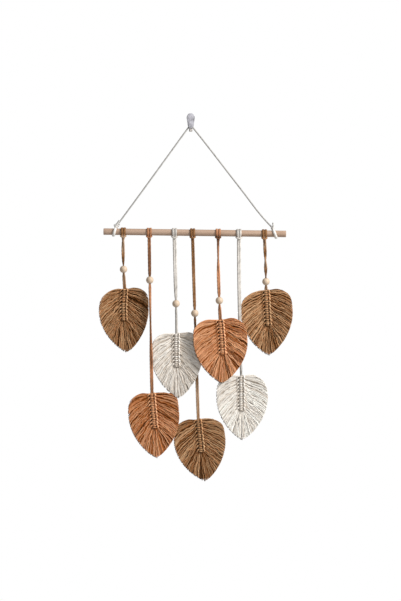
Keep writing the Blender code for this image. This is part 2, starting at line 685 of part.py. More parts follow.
def main():
    for old in list(bpy.data.objects):
        bpy.data.objects.remove(old, do_unlink=True)
    make_hook()
    make_strip()
    make_dowel()
    ties = rows(TIE_COLUMNS, TIES)
    for tie in ties:
        make_tie(tie)
    make_hanger_cord(ties)
    for number, (pendant, twist) in enumerate(zip(rows(PENDANT_COLUMNS, PENDANTS), TWISTS), 1):
        make_strand(number, pendant, twist)
        make_bead(number, pendant)
        make_leaf(number, pendant)


main()
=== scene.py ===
"""The looks of a macrame wall hanging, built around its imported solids.

Seven combed cotton leaves hang on beaded cords from a wooden dowel, which hangs by a thin cord from a small
clear hook. All places are in the frame of the solids: metres, +Z up, the wall at Y = 0 and the room towards
-Y. Tables are in millimetres, and MM turns them to metres.
"""

import math
import random
from bisect import bisect_left
from types import SimpleNamespace

import bmesh
import bpy
from bpy.props import FloatProperty, FloatVectorProperty, IntProperty, PointerProperty
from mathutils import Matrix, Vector


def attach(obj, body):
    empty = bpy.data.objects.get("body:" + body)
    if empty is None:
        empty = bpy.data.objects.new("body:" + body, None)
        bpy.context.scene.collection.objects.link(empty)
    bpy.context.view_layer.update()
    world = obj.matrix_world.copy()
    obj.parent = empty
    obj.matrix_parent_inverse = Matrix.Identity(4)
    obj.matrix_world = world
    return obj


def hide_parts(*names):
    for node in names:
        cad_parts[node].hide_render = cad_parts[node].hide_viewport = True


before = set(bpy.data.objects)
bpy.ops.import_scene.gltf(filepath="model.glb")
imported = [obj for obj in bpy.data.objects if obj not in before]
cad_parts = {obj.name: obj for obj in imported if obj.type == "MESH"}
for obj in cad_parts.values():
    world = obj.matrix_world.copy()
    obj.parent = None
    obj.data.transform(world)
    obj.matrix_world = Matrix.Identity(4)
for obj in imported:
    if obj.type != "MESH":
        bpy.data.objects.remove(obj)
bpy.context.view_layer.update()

bl_info = {
    "name": "Macrame leaf hanging",
    "version": (1, 0, 0),
    "blender": (4, 5, 0),
    "location": "3D View > Sidebar > Hanging",
    "description": "Dresses the solids of a macrame leaf hanging in cotton, wood and clear plastic",
    "category": "Object",
}

MM = 0.001


def rows(columns, table):
    """A table's rows, with their columns as named values."""
    return [SimpleNamespace(**dict(zip(columns, row))) for row in table]


# ---- Sizes that the solids share ----

DOWEL_LENGTH = 401.5 * MM
DOWEL_RADIUS = 7.2 * MM
DOWEL_CENTRE = Vector((9.0, -16.0, -247.0)) * MM
DOWEL_TILT = math.radians(0.75)

GAP = 0.3 * MM  # between pieces that lie on each other
HANGER_RADIUS = 1.6 * MM
CORD_RADIUS = 1.8 * MM
BEAD_RADIUS = 8.2 * MM
BEAD_BORE = 3.2 * MM
BEAD_SQUEEZE = 0.76  # how close a pair's cords lie in the bore
PAIR_FORWARD = 2.5 * MM  # of the dowel's axis, where a pair leaves its knot

SPINE_HALF_WIDTH = 6.4 * MM
WIDEST_AT = 0.345  # of a leaf's length
TAPER_POWER = 1.9
TAPER_ROUND = 0.78
DISH_POWER = 1.5
FOOT_TURN = math.radians(84)  # that the fringe fans through at each side of a spine's foot

# Of each pendant: its cotton; where its cord crosses the dowel, and where its bead and its leaf's top
# are; the leaf's length and its spine's; its lean in degrees, and how far it bows to the right; its half
# widths, and how far its rims stand forward; the power of each shoulder's curve, and how far the shoulder
# rises above the top; its tone, what its right half adds to that, painted light and shade for the way
# that half faces the light, and how deep its grooves are, which also sets how much painted shade its
# grooves, spine and notches get.
PENDANT_COLUMNS = (
    "colour", "rod_x", "bead_x", "bead_y", "bead_z", "top_x", "top_y", "top_z", "length", "spine", "lean",
    "bow", "left", "right", "dish", "left_shoulder", "right_shoulder", "left_rise", "right_rise", "tone",
    "right_tone", "relief",
)
PENDANTS = rows(PENDANT_COLUMNS, (
    ("brown", -148.3, -147.8, -15.0, -327.4, -145.4, -11.5, -370.3, 138.9, 73.0, 2.4, -4.4,
     54.0, 55.0, 5.0, 2.8, 3.6, -1.0, 0.0, -0.03, -0.05, 1.1),
    ("rust", -91.3, -89.8, -23.0, -351.1, -84.9, -25.0, -599.5, 141.0, 80.0, 4.6, 0.3,
     55.0, 56.0, 5.0, 3.3, 5.6, 0.0, -6.5, -0.16, -0.03, 1.05),
    ("white", -35.6, -32.3, -17.0, -403.0, -31.0, -15.0, -468.2, 141.6, 77.0, 2.3, -2.7,
     54.5, 57.0, 5.0, 3.5, 3.5, -0.5, 0.0, -0.15, -0.06, 0.45),
    ("brown", 4.2, 9.0, -11.5, -424.2, 16.7, -11.0, -657.6, 136.1, 76.0, 7.1, -1.4,
     57.5, 55.5, 5.0, 3.5, 3.4, 0.0, -5.0, -0.05, 0.04, 1.3),
    ("rust", 60.3, 62.9, -22.0, -396.2, 64.9, -25.0, -438.0, 138.5, 80.0, 2.2, 2.4,
     62.5, 56.0, 5.0, 3.4, 3.6, -1.5, 2.0, 0.08, -0.17, 1.4),
    ("white", 106.0, 108.9, -16.5, -482.9, 111.3, -14.0, -561.4, 140.4, 80.0, 1.3, -0.8,
     54.5, 58.5, 4.0, 3.4, 2.7, 0.0, 3.0, 0.08, 0.03, 0.38),
    ("brown", 162.1, 165.7, -12.0, -354.4, 166.1, -8.8, -373.1, 142.6, 82.0, 3.0, 0.2,
     59.0, 56.0, 3.0, 2.5, 3.6, -4.0, -0.5, 0.14, -0.10, 1.7),
))
# How the two cords of each pair lie round each other: at each height in mm, the turn in degrees.
TWISTS = (
    ((-256, 0), (-262, -65), (-285, 0), (-307, 58), (-345, 165), (-371, 180)),
    ((-262, 0), (-340, 35), (-475, 110), (-520, 165), (-575, 185), (-600, 220)),
    ((-262, 0), (-352, 10), (-390, 75), (-425, 90), (-469, 115)),
    ((-262, 0), (-360, 15), (-424, 40), (-520, 150), (-590, 170), (-658, 215)),
    ((-256, 0), (-262, 55), (-300, 85), (-340, 175), (-380, 205), (-420, 350), (-438, 380)),
    ((-262, 0), (-380, 25), (-483, 60), (-540, 75), (-562, 88)),
    ((-256, 0), (-262, -40), (-285, 0), (-307, 85), (-322, 160), (-340, 265), (-374, 355)),
)

# The hanging cord's route, from the left tie over the hook to the right tie.
HANGER_ROUTE = tuple(
    Vector(point) * MM
    for point in (
        (-138.5, -15.7, -198.9), (-108.3, -13.8, -157.6), (-76.9, -11.7, -114.2), (-45.5, -9.7, -70.7),
        (-22.0, -8.1, -38.1), (-9.6, -7.3, -20.9), (-5.2, -7.0, -15.1), (-2.8, -7.0, -13.2),
        (0.0, -7.0, -12.5), (2.8, -7.0, -13.2), (5.2, -7.0, -15.1), (9.8, -7.3, -20.9),
        (23.4, -8.1, -37.9), (49.3, -9.6, -71.2), (83.5, -11.6, -115.8), (117.8, -13.6, -160.4),
        (152.8, -15.6, -206.3),
    )
)
# Its ties: where each goes round the dowel, how far it slants there, where its free end is, and how many
# times it is wound round itself.
TIES = rows(("name", "x", "slant", "tail_x", "tail_y", "tail_z", "wraps"), (
    ("hanger_tie_left", -164.2, -6.0, -167.6, -20.0, -230.4, 3),
    ("hanger_tie_right", 181.6, 6.4, 180.8, -20.0, -225.1, 2),
))
TIE_KNOT_RADIUS = 3.0 * MM
TIE_KNOT_FORWARD = 1.0 * MM
TIE_KNOT_RISE = 1.6 * MM

# The hook's plate, the seat behind its lip, and the lip; and the strip, which narrows to its pull tab.
PLATE_BACK, PLATE_FRONT = 1.3 * MM, 4.0 * MM
PLATE_HEAD = (0, 7.5 * MM, 9.0 * MM, 10.2 * MM)
PLATE_FOOT = (0, -13.5 * MM, 6.0 * MM, 3.0 * MM)
SEAT_RADIUS, SEAT_CENTRE, SEAT_BOTTOM = 4.6 * MM, -19.2 * MM, -16.4 * MM
SEAT_BACK, SEAT_FRONT = 3.5 * MM, 10.5 * MM
LIP_BACK, LIP_FRONT = 10.0 * MM, 12.3 * MM
LIP_HEAD = (0, -4.1 * MM, 4.4 * MM, 3.0 * MM)
LIP_FOOT = (0, -13.4 * MM, 4.4 * MM, 3.0 * MM)
STRIP_THICKNESS = 1.0 * MM
STRIP_HEAD = (0, 9.5 * MM, 5.5 * MM, 5.5 * MM)
STRIP_FOOT = (0, -22.0 * MM, 3.7 * MM, 1.2 * MM)
TAB_STARTS, TAB_NARROWED = -13.0 * MM, -13.6 * MM


# ---- What a user may change ----

def colour(name, description, default):
    """A colour that a user may set."""
    return FloatVectorProperty(
        name=name, description=description, default=default, subtype="COLOR", min=0.0, max=1.0, size=3
    )


def light(name, description, default):
    """The power of a light that a user may set."""
    return FloatProperty(name=name, description=description, default=default, min=0.0, unit="POWER")


class HangingCotton(bpy.types.PropertyGroup):
    """The cottons, and how finely the leaves are combed"""

    brown: colour("Brown", "Middle tone of the brown cotton", (0.40, 0.228, 0.115))
    rust: colour("Rust", "Middle tone of the rust cotton", (0.60, 0.288, 0.143))
    white: colour("White", "Middle tone of the off-white cotton", (0.86, 0.82, 0.765))
    brown_cord: colour("Brown cord", "Middle tone of the brown pendant cords", (0.37, 0.242, 0.155))
    rust_cord: colour("Rust cord", "Middle tone of the rust pendant cords", (0.60, 0.285, 0.150))
    white_cord: colour("White cord", "Middle tone of the off-white pendant cords", (0.84, 0.81, 0.770))
    hanger_cord: colour("Hanging cord", "Middle tone of the hanging cord", (0.67, 0.655, 0.630))
    strands: IntProperty(
        name="Fringe strands", description="Strands in each lock of a leaf", default=8, min=2, max=40
    )
    strand_radius: FloatProperty(
        name="Strand radius", description="Radius of one combed strand", default=0.0004,
        min=0.0001, max=0.001, precision=5, unit="LENGTH",
    )


class HangingWood(bpy.types.PropertyGroup):
    """The woods of the dowel and the beads"""

    dowel: colour("Dowel", "Middle tone of the dowel's wood", (0.41, 0.285, 0.208))
    bead: colour("Beads", "Middle tone of the beads' wood", (0.56, 0.445, 0.335))


class HangingHook(bpy.types.PropertyGroup):
    """The wall hook's plastic and its adhesive strip"""

    clear: colour("Hook", "Tint of the clear plastic", (0.47, 0.465, 0.51))
    strip: colour("Strip", "Colour of the adhesive strip", (0.47, 0.44, 0.41))


class HangingStage(bpy.types.PropertyGroup):
    """The camera and the lights"""

    distance: FloatProperty(
        name="Camera distance", description="From the camera to the dowel", default=3.5, min=1.0,
        unit="LENGTH",
    )
    key: light("Key light", "Power of the light from the right", 112.0)
    top: light("Top light", "Power of the light from above", 3.0)
    fill: light("Fill light", "Power of the light from the left", 6.0)
    ambient: FloatProperty(
        name="Ambient", description="Strength of the light all round", default=0.26, min=0.0
    )


# ---- Numbers and curves ----

def ease(t):
    """0 to 1 with level ends."""
    t = min(max(t, 0.0), 1.0)
    return t * t * (3 - 2 * t)


def mixed(a, b, t):
    """From a to b as t goes from 0 to 1."""
    return a + (b - a) * t


def through(knots, at):
    """A table of (place, value) read at one place, straight between its rows, held past its ends."""
    knots = sorted(knots)
    if at <= knots[0][0]:
        return knots[0][1]
    for (a, value_a), (b, value_b) in zip(knots, knots[1:]):
        if at <= b:
            return value_a + (value_b - value_a) * (at - a) / (b - a)
    return knots[-1][1]


def parabola(places, values, at):
    """The quadratic through three points, read at one place."""
    (a, b, c), (p, q, r) = places, values
    first = (q - p) / (b - a)
    second = ((r - q) / (c - b) - first) / (c - a)
    return p + first * (at - a) + second * (at - a) * (at - b)


def blend(p, q, start, end, t):
    """From p to q as t goes from start to end."""
    return p * ((end - t) / (end - start)) + q * ((t - start) / (end - start))


def smooth_curve(points, steps=24):
    """A fine polyline on the centripetal Catmull-Rom curve through the points."""
    ends = [points[0] * 2 - points[1], *points, points[-1] * 2 - points[-2]]
    line = []
    for p0, p1, p2, p3 in zip(ends, ends[1:], ends[2:], ends[3:]):
        t1 = (p1 - p0).length ** 0.5
        t2 = t1 + (p2 - p1).length ** 0.5
        t3 = t2 + (p3 - p2).length ** 0.5
        for k in range(steps):
            t = t1 + (t2 - t1) * k / steps
            a1, a2, a3 = blend(p0, p1, 0, t1, t), blend(p1, p2, t1, t2, t), blend(p2, p3, t2, t3, t)
            b1, b2 = blend(a1, a2, 0, t2, t), blend(a2, a3, t1, t3, t)
            line.append(blend(b1, b2, t1, t2, t))
    return line + [points[-1].copy()]


def run_along(points):
    """The distance run at each point of a line."""
    run = [0.0]
    for a, b in zip(points, points[1:]):
        run.append(run[-1] + (b - a).length)
    return run


def on_line(points, run, distance):
    """The point a distance along a line whose run is known."""
    distance = min(max(distance, 0.0), run[-1])
    k = min(max(bisect_left(run, distance), 1), len(run) - 1)
    return points[k - 1].lerp(points[k], (distance - run[k - 1]) / max(run[k] - run[k - 1], 1e-12))


def spaced(line, step):
    """A polyline's points put an even distance apart, about `step`, with the distance run at each."""
    run = run_along(line)
    count = max(2, round(run[-1] / step))
    places = [run[-1] * k / count for k in range(count + 1)]
    return [on_line(line, run, place) for place in places], places


def frames(path, across):
    """At each point of a path, two directions square to it that turn no more than they must."""
    tangents = [
        (path[min(k + 1, len(path) - 1)] - path[max(k - 1, 0)]).normalized() for k in range(len(path))
    ]
    wide = (across - tangents[0] * across.dot(tangents[0])).normalized()
    made = []
    for tangent in tangents:
        wide = (wide - tangent * wide.dot(tangent)).normalized()
        made.append((wide, tangent.cross(wide)))
    return made


def dowel_height(x):
    """The height of the dowel's axis, which tilts a little."""
    return DOWEL_CENTRE.z - (x - DOWEL_CENTRE.x) * math.tan(DOWEL_TILT)


def by_dowel(x, forward, up):
    """A place by the dowel, from its axis."""
    return Vector((x, DOWEL_CENTRE.y - forward, dowel_height(x) + up))


# ---- Shader maths ----

class Value:
    """A shader socket that takes part in Python's arithmetic."""

    def __init__(self, nodes, socket):
        self.nodes, self.socket = nodes, socket

    def maths(self, operation, *values):
        return self.nodes.node("ShaderNodeMath", {"operation": operation}, dict(enumerate(values)))

    def __add__(self, other):
        return self.maths("ADD", self, other)

    def __sub__(self, other):
        return self.maths("SUBTRACT", self, other)

    def __rsub__(self, other):
        return self.maths("SUBTRACT", other, self)

    def __mul__(self, other):
        return self.maths("MULTIPLY", self, other)

    def __pow__(self, other):
        return self.maths("POWER", self, other)

    def __abs__(self):
        return self.maths("ABSOLUTE", self)

    __radd__ = __add__
    __rmul__ = __mul__


class Nodes:
    """The nodes that feed a shader. node() adds any node, and arithmetic on its values adds Math nodes."""

    def __init__(self, tree, shader, constants):
        self.tree = tree
        self.shader = tree.nodes[shader]
        for socket, value in constants.items():
            self.shader.inputs[socket].default_value = value

    def node(self, kind, settings=None, inputs=None, output=0):
        """Adds a node: its settings first, then its sockets' values or links."""
        made = self.tree.nodes.new(kind)
        for name, value in (settings or {}).items():
            if name == "stops":
                ramp = made.color_ramp
                while len(ramp.elements) < len(value):
                    ramp.elements.new(0.5)
                for element, (place, shade) in zip(ramp.elements, value):
                    element.position = place
                    element.color = (*shade, 1)
            else:
                setattr(made, name, value)
        for key, value in (inputs or {}).items():
            if isinstance(value, Value):
                self.tree.links.new(value.socket, made.inputs[key])
            else:
                made.inputs[key].default_value = value
        return Value(self, made.outputs[output])

    def feed(self, socket, value):
        """Links a value to the shader."""
        self.tree.links.new(value.socket, self.shader.inputs[socket])


class Finish(Nodes):
    """A material in the making."""

    def __init__(self, name, constants):
        self.material = bpy.data.materials.new(name)
        self.material.use_nodes = True
        super().__init__(self.material.node_tree, "Principled BSDF", constants)

    def ramp(self, factor, stops):
        return self.node("ShaderNodeValToRGB", {"stops": stops}, {"Fac": factor})

    def noise(self, place, scale, detail=2.0, roughness=0.5):
        inputs = {"Vector": place, "Scale": scale, "Detail": detail, "Roughness": roughness}
        return self.node("ShaderNodeTexNoise", None, inputs)

    def stretched(self, place, scale):
        return self.node("ShaderNodeMapping", None, {"Vector": place, "Scale": scale})

    def object_place(self):
        return self.node("ShaderNodeTexCoord", output="Object")

    def off_middle(self, place, scale):
        """How far a place lies to either side of the hanging's middle."""
        return abs(self.node("ShaderNodeSeparateXYZ", None, {"Vector": place}, output="X")) * scale

    def bump(self, height, strength, distance):
        inputs = {"Height": height, "Strength": strength, "Distance": distance}
        self.feed("Normal", self.node("ShaderNodeBump", None, inputs))


# ---- Finishes ----

# The shades of a cotton and a wood: the place on the ramp, how much lighter in shares of the contrast,
# and how much redder in shares of the warmth. Where the painted shade of a leaf's grooves is deepest,
# cotton is down to DEEPEST of its colour. A cotton's darker shades carry both its strands' own darker
# tones and the shade painted into their tone, and are redder, as shade in cotton is; its lighter shades
# are paler, as lit fibres are: painted light.
COTTON_SHADES = (
    (0.23, -0.85, 1.5), (0.44, -0.45, 1.0), (0.62, 0.0, 0.0), (0.83, 0.42, -0.15), (1.0, 0.80, -0.35)
)
WOOD_SHADES = ((0.28, -1.0, 1.0), (0.46, -0.25, 0.3), (0.60, 0.18, 0.0), (0.78, 0.55, -0.3))
DEEPEST = 0.12
WOOD_WARMTH = 0.10

# Of each cotton: contrast, warmth of its shades, the tint of its flecks and their share.
COMBED = {
    "cotton_brown": (1.0, 0.36, (1.18, 0.82, 0.60), 0.6),
    "cotton_rust": (0.84, 0.42, (1.0, 1.10, 1.04), 0.5),
    "cotton_white": (0.28, 0.05, (0.90, 0.90, 0.92), 0.6),
}
TWISTED = {
    "cotton_brown": (0.75, 0.26, (0.90, 0.96, 1.0), 0.5),
    "cotton_rust": (0.80, 0.02, (0.92, 1.05, 1.10), 0.5),
    "cotton_white": (0.60, 0.02, (0.92, 0.92, 0.94), 0.5),
    "cotton_hanger": (0.60, 0.0, (0.95, 0.95, 0.96), 0.4),
}
# What the streaks along the fibres weigh in the tone, in combed and in twisted cotton.
COMBED_STREAKS, TWISTED_STREAKS = 0.85, 0.4
# Of each wood: how its grain is stretched, and its contrast.
WOODS = {
    "dowel_wood": ((9.0, 150.0, 150.0), 0.30),
    "bead_wood": ((260.0, 260.0, 60.0), 0.16),
}


def shade(base, factor, warm=0.0):
    """A colour made lighter or darker, and redder by `warm`."""
    return tuple(min(c * factor * (1 + warm * w), 1.0) for c, w in zip(base, (1, 0, -1)))


def shaded(base, contrast, warm, shades):
    """A ramp's stops, from a table of shades."""
    return [(place, shade(base, 1 + lighter * contrast, warm * redder)) for place, lighter, redder in shades]


def cotton(name, base, contrast, warm, tint, tint_share, streaks):
    """Combed or twisted cotton: each strand has its own tone, with flecks of a tint along its fibres.

    The tone also carries the light and shade painted into it.
    """
    finish = Finish(name, {"Roughness": 0.95, "Specular IOR Level": 0.05})
    tone = finish.node("ShaderNodeAttribute", {"attribute_name": "tone"}, output="Fac")
    fibre = finish.node("ShaderNodeAttribute", {"attribute_name": "fibre"}, output="Vector")
    streak = finish.noise(finish.stretched(fibre, (0.25, 110.0, 12.0)), 1.0, 2.0, 0.6)
    cloud = finish.noise(finish.object_place(), 130.0, 3.0, 0.65)
    level = tone * 0.76 + streak * streaks + cloud * 0.30 + (0.04 - streaks / 2)
    stops = [(0.0, shade(base, DEEPEST, warm)), *shaded(base, contrast, warm, COTTON_SHADES)]
    fleck = finish.noise(finish.stretched(fibre, (0.0, 60.0, 3.1)), 1.0, 3.0, 0.7)
    share = finish.ramp(fleck, ((0.48, (0, 0, 0)), (0.66, (tint_share,) * 3)))
    dyed = finish.node(
        "ShaderNodeMix", {"data_type": "RGBA", "blend_type": "MULTIPLY"},
        {"Factor": share, "A": finish.ramp(level, stops), "B": (*tint, 1)}, output="Result",
    )
    finish.feed("Base Color", dyed)
    finish.bump(streak, 0.5, 0.0002)
    return finish.material


def wood(name, base, along, contrast):
    """Plain sanded wood, its grain along the given stretch of object coordinates."""
    finish = Finish(name, {"Roughness": 0.55})
    place = finish.object_place()
    grain = finish.noise(finish.stretched(place, along), 1.0, 4.0, 0.62)
    fine = finish.noise(finish.stretched(place, tuple(3.2 * s for s in along)), 1.0, 2.0, 0.7)
    level = grain * 0.8 + fine * 0.2
    finish.feed("Base Color", finish.ramp(level, shaded(base, contrast, WOOD_WARMTH, WOOD_SHADES)))
    finish.feed("Roughness", 0.42 + level * 0.30)
    finish.bump(fine, 0.12, 0.0003)
    return finish.material


def clear_plastic(name, tint):
    """Clear moulded plastic, cloudy with what it bends of the light, and darker towards its sides.

    Both are painted: the cloud is painted light, and the sides' darkness painted shade of its edges.
    """
    finish = Finish(name, {"Roughness": 0.16, "IOR": 1.46, "Alpha": 0.86})
    place = finish.object_place()
    rim = finish.off_middle(place, 112.0) ** 4.0
    cloud = finish.noise(finish.stretched(place, (1.0, 1.0, 0.6)), 200.0, 1.0)
    # Painted shade towards the sides, and painted light in the cloud.
    level = rim * 0.42 + cloud * 1.3 - 0.28
    stops = ((0.05, shade(tint, 1.25)), (0.32, tint), (0.85, shade(tint, 0.42)))
    finish.feed("Base Color", finish.ramp(level, stops))
    return finish.material


def foam_strip(name, base):
    """The strip's foam: light down its middle and darker at its two edges."""
    finish = Finish(name, {"Roughness": 0.7})
    place = finish.object_place()
    speck = finish.noise(place, 900.0, 2.0)
    level = finish.off_middle(place, 330.0) + speck * 0.3 - 0.15
    stops = ((0.25, shade(base, 1.9)), (0.55, base), (1.0, shade(base, 0.8)))
    finish.feed("Base Color", finish.ramp(level, stops))
    finish.bump(speck, 0.4, 0.0002)
    return finish.material


def finish_of(slot, combed=False):
    """The material of one of the finishes, made once. Combed cotton differs from its twisted cord."""
    name = slot + ("_combed" if combed else "_finish")
    if name in bpy.data.materials:
        return bpy.data.materials[name]
    scene = bpy.context.scene
    if slot in TWISTED:
        base = getattr(scene.hanging_cotton, slot.replace("cotton_", "") + ("" if combed else "_cord"))
        kind, streaks = (COMBED, COMBED_STREAKS) if combed else (TWISTED, TWISTED_STREAKS)
        return cotton(name, tuple(base), *kind[slot], streaks)
    if slot in WOODS:
        return wood(name, tuple(getattr(scene.hanging_wood, slot.replace("_wood", ""))), *WOODS[slot])
    if slot == "hook_plastic":
        return clear_plastic(name, tuple(scene.hanging_hook.clear))
    return foam_strip(name, tuple(scene.hanging_hook.strip))


# ---- Mesh helpers ----

def new_mesh():
    """A bmesh with the layers that cotton reads: a tone, and a place along and round its fibres.

    The tone also carries painted light and shade.
    """
    bm = bmesh.new()
    bm.verts.layers.float.new("tone")
    bm.verts.layers.float_vector.new("fibre")
    bm.faces.layers.int.new("tube")
    return bm


def mesh_object(name, bm, material):
    """Ends a bmesh as an object of the scene."""
    mesh = bpy.data.meshes.new(name)
    bm.to_mesh(mesh)
    bm.free()
    mesh.materials.append(material)
    made = bpy.data.objects.new(name, mesh)
    bpy.context.scene.collection.objects.link(made)
    return made


def placed(name, bm, finish, nodes, smooth_below=None, combed=False):
    """Ends a bmesh as a piece of the hanging that stands for its nodes of the solids."""
    bmesh.ops.recalc_face_normals(bm, faces=bm.faces)
    piece = mesh_object(name, bm, finish_of(finish, combed))
    if smooth_below is not None:
        piece.data.shade_smooth()
        piece.data.set_sharp_from_angle(angle=math.radians(smooth_below))
    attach(piece, "root")
    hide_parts(*nodes)
    return piece


def draw_tubes(tubes):
    """Draws tubes out through their rings of points and caps them. Tubes with as many rings go together.

    A tube is (rings, distances, tones, seed), with the distance run and the tone at each ring.
    """
    bm = new_mesh()
    tone_layer = bm.verts.layers.float["tone"]
    fibre_layer = bm.verts.layers.float_vector["fibre"]
    number = bm.faces.layers.int["tube"]
    groups = {}
    for tube in tubes:
        groups.setdefault(len(tube[0]), []).append(tube)
    for count, group in groups.items():
        tips, roots = [], []
        for k, (rings, distances, tones, seed) in enumerate(group):
            verts = [bm.verts.new(point) for point in rings[0]]
            for turn, vert in enumerate(verts):
                vert[tone_layer] = tones[0]
                vert[fibre_layer] = (turn, distances[0], seed)
            face = bm.faces.new(verts)
            face[number] = k
            tips.append(face)
            roots.append(verts)
        for step in range(1, count):
            tips = bmesh.ops.extrude_discrete_faces(bm, faces=tips)["faces"]
            for face in tips:
                rings, distances, tones, seed = group[face[number]]
                for turn, (vert, point) in enumerate(zip(face.verts, rings[step])):
                    vert.co = point
                    vert[tone_layer] = tones[step]
                    vert[fibre_layer] = (turn, distances[step], seed)
        for verts in roots:
            bm.faces.new(list(reversed(verts)))
    return bm


def ring_round(centre, wide, deep, radius_wide, radius_deep, sides, turned):
    """The corners of a ring, oval where its two radii differ."""
    turns = [turned + 2 * math.pi * k / sides for k in range(sides)]
    return [centre + wide * radius_wide * math.cos(a) + deep * radius_deep * math.sin(a) for a in turns]


PLIES = 3
PLY_SIDES = 6
# Of each twisted cord: how thick its plies are in shares of its radius, how far it runs in one turn, its
# tone, and how far its plies differ from that.
ROPE_COLUMNS = ("ply_share", "pitch", "tone", "tone_spread")
SPINE_ROPE, HANGER_ROPE, TIE_ROPE, *PENDANT_ROPES = rows(ROPE_COLUMNS, (
    (0.60, 15 * MM, 0.0, 0.10),
    (0.60, 8.5 * MM, 0.16, 0.03),
    # The ties are the hanging cord's own ends; their higher tone is painted light.
    (0.60, 8.5 * MM, 0.62, 0.05),
    (0.74, 24 * MM, 0.0, 0.05),
    (0.74, 24 * MM, 0.0, 0.05),
    (0.90, 24 * MM, 0.0, 0.05),
))
PENDANT_ROPES = dict(zip(("brown", "rust", "white"), PENDANT_ROPES))


def rope(path, runs, across, radius, kind, uneven, pressed=None, shades=None):
    """The plies of a twisted cord along a path, as tubes.

    At each step, `pressed` gives how broad and how thick it lies, and `shades` what is added to its tone.
    """
    tubes = []
    around = frames(path, across)
    ply_radius = radius * kind.ply_share
    reach = radius - ply_radius
    first = uneven.uniform(0, 2 * math.pi)
    for ply in range(PLIES):
        rings = []
        for k, (centre, (wide, deep)) in enumerate(zip(path, around)):
            broad, thick = pressed[k] if pressed else (1.0, 1.0)
            angle = first + 2 * math.pi * (ply / PLIES + runs[k] / kind.pitch)
            middle = centre + wide * math.cos(angle) * reach * broad + deep * math.sin(angle) * reach * thick
            rings.append(
                ring_round(middle, wide, deep, ply_radius * broad, ply_radius * thick, PLY_SIDES, angle)
            )
        tone = kind.tone + uneven.uniform(-kind.tone_spread, kind.tone_spread)
        tones = [tone + (shades[k] if shades else 0) for k in range(len(path))]
        tubes.append((rings, runs, tones, uneven.random() * 40))
    return tubes


# ---- Stage ----

PHOTO_WIDTH, PHOTO_HEIGHT = 401, 601
PIXEL = 2.2 * MM  # at the hanging
ORIGIN_PIXEL = (190.7, 120.5)
FLOOR_HALF, FLOOR_HEIGHT = 3.0, -1.7

# Of each light: its place, what it points at, its size and its tint. Its power is a setting of its name.
LIGHTS = (
    ("key", (2.1, -1.25, 0.95), (0.02, 0, -0.40), 0.8, (1.0, 0.985, 0.96)),
    ("top", (0.02, -0.7, 0.9), (0.02, 0, -0.25), 0.9, (1.0, 1.0, 1.0)),
    ("fill", (-1.6, -2.2, 0.1), (0.02, 0, -0.40), 1.6, (0.96, 0.98, 1.0)),
)


class HANGING_OT_stage(bpy.types.Operator):
    """Set the camera, the lights and the floor"""

    bl_idname = "hanging.stage"
    bl_label = "Stage"

    def execute(self, context):
        settings = context.scene.hanging_stage
        self.camera(context.scene, settings.distance)
        for name, place, target, size, tint in LIGHTS:
            lamp = bpy.data.lights.new(name, "AREA")
            lamp.size = size
            lamp.energy = getattr(settings, name)
            lamp.color = tint
            made = bpy.data.objects.new(name, lamp)
            made.location = place
            made.rotation_euler = (Vector(target) - Vector(place)).to_track_quat("-Z", "Y").to_euler()
            context.scene.collection.objects.link(made)

        bm = bmesh.new()
        bmesh.ops.create_grid(bm, x_segments=1, y_segments=1, size=FLOOR_HALF)
        bmesh.ops.translate(bm, verts=bm.verts, vec=(0, 0, FLOOR_HEIGHT))
        pale = Finish("pale_floor", {"Base Color": (0.86, 0.86, 0.85, 1), "Roughness": 0.9}).material
        floor = mesh_object("floor", bm, pale)

        # The background is white to the camera, and lights the hanging more softly than that.
        world = bpy.data.worlds.new("studio")
        world.use_nodes = True
        studio = Nodes(world.node_tree, "Background", {"Color": (1, 1, 1, 1)})
        seen = studio.node("ShaderNodeLightPath", output="Is Camera Ray")
        strengths = {"Value": seen, "To Min": settings.ambient, "To Max": 1.0}
        studio.feed("Strength", studio.node("ShaderNodeMapRange", None, strengths))
        context.scene.world = world
        context.scene.view_settings.view_transform = "Standard"
        return {"FINISHED"}

    def camera(self, scene, distance):
        """The camera faces the wall squarely, where it sees the photo's frame."""
        camera = bpy.data.cameras.new("camera")
        camera.type = "PERSP"
        camera.lens = camera.sensor_width * distance / (PHOTO_HEIGHT * PIXEL)
        camera.clip_end = 50
        eye = bpy.data.objects.new("camera", camera)
        x = (PHOTO_WIDTH / 2 - ORIGIN_PIXEL[0]) * PIXEL
        z = (ORIGIN_PIXEL[1] - PHOTO_HEIGHT / 2) * PIXEL
        eye.location = (x, DOWEL_CENTRE.y - distance, z)
        eye.rotation_euler = (math.pi / 2, 0, 0)
        scene.collection.objects.link(eye)
        scene.camera = eye


# ---- Hanging cord and ties ----

HANGER_FULLNESS = 1.2  # its plies stand out past its measured radius
WRAP_STEPS = 8  # in one turn of a tie round itself
WRAP_PITCH = 3.4


def tie_knot_centre(tie):
    """The middle of a tie's knot, on top of the dowel."""
    return by_dowel(tie.x * MM, TIE_KNOT_FORWARD, DOWEL_RADIUS + GAP + HANGER_RADIUS + TIE_KNOT_RISE)


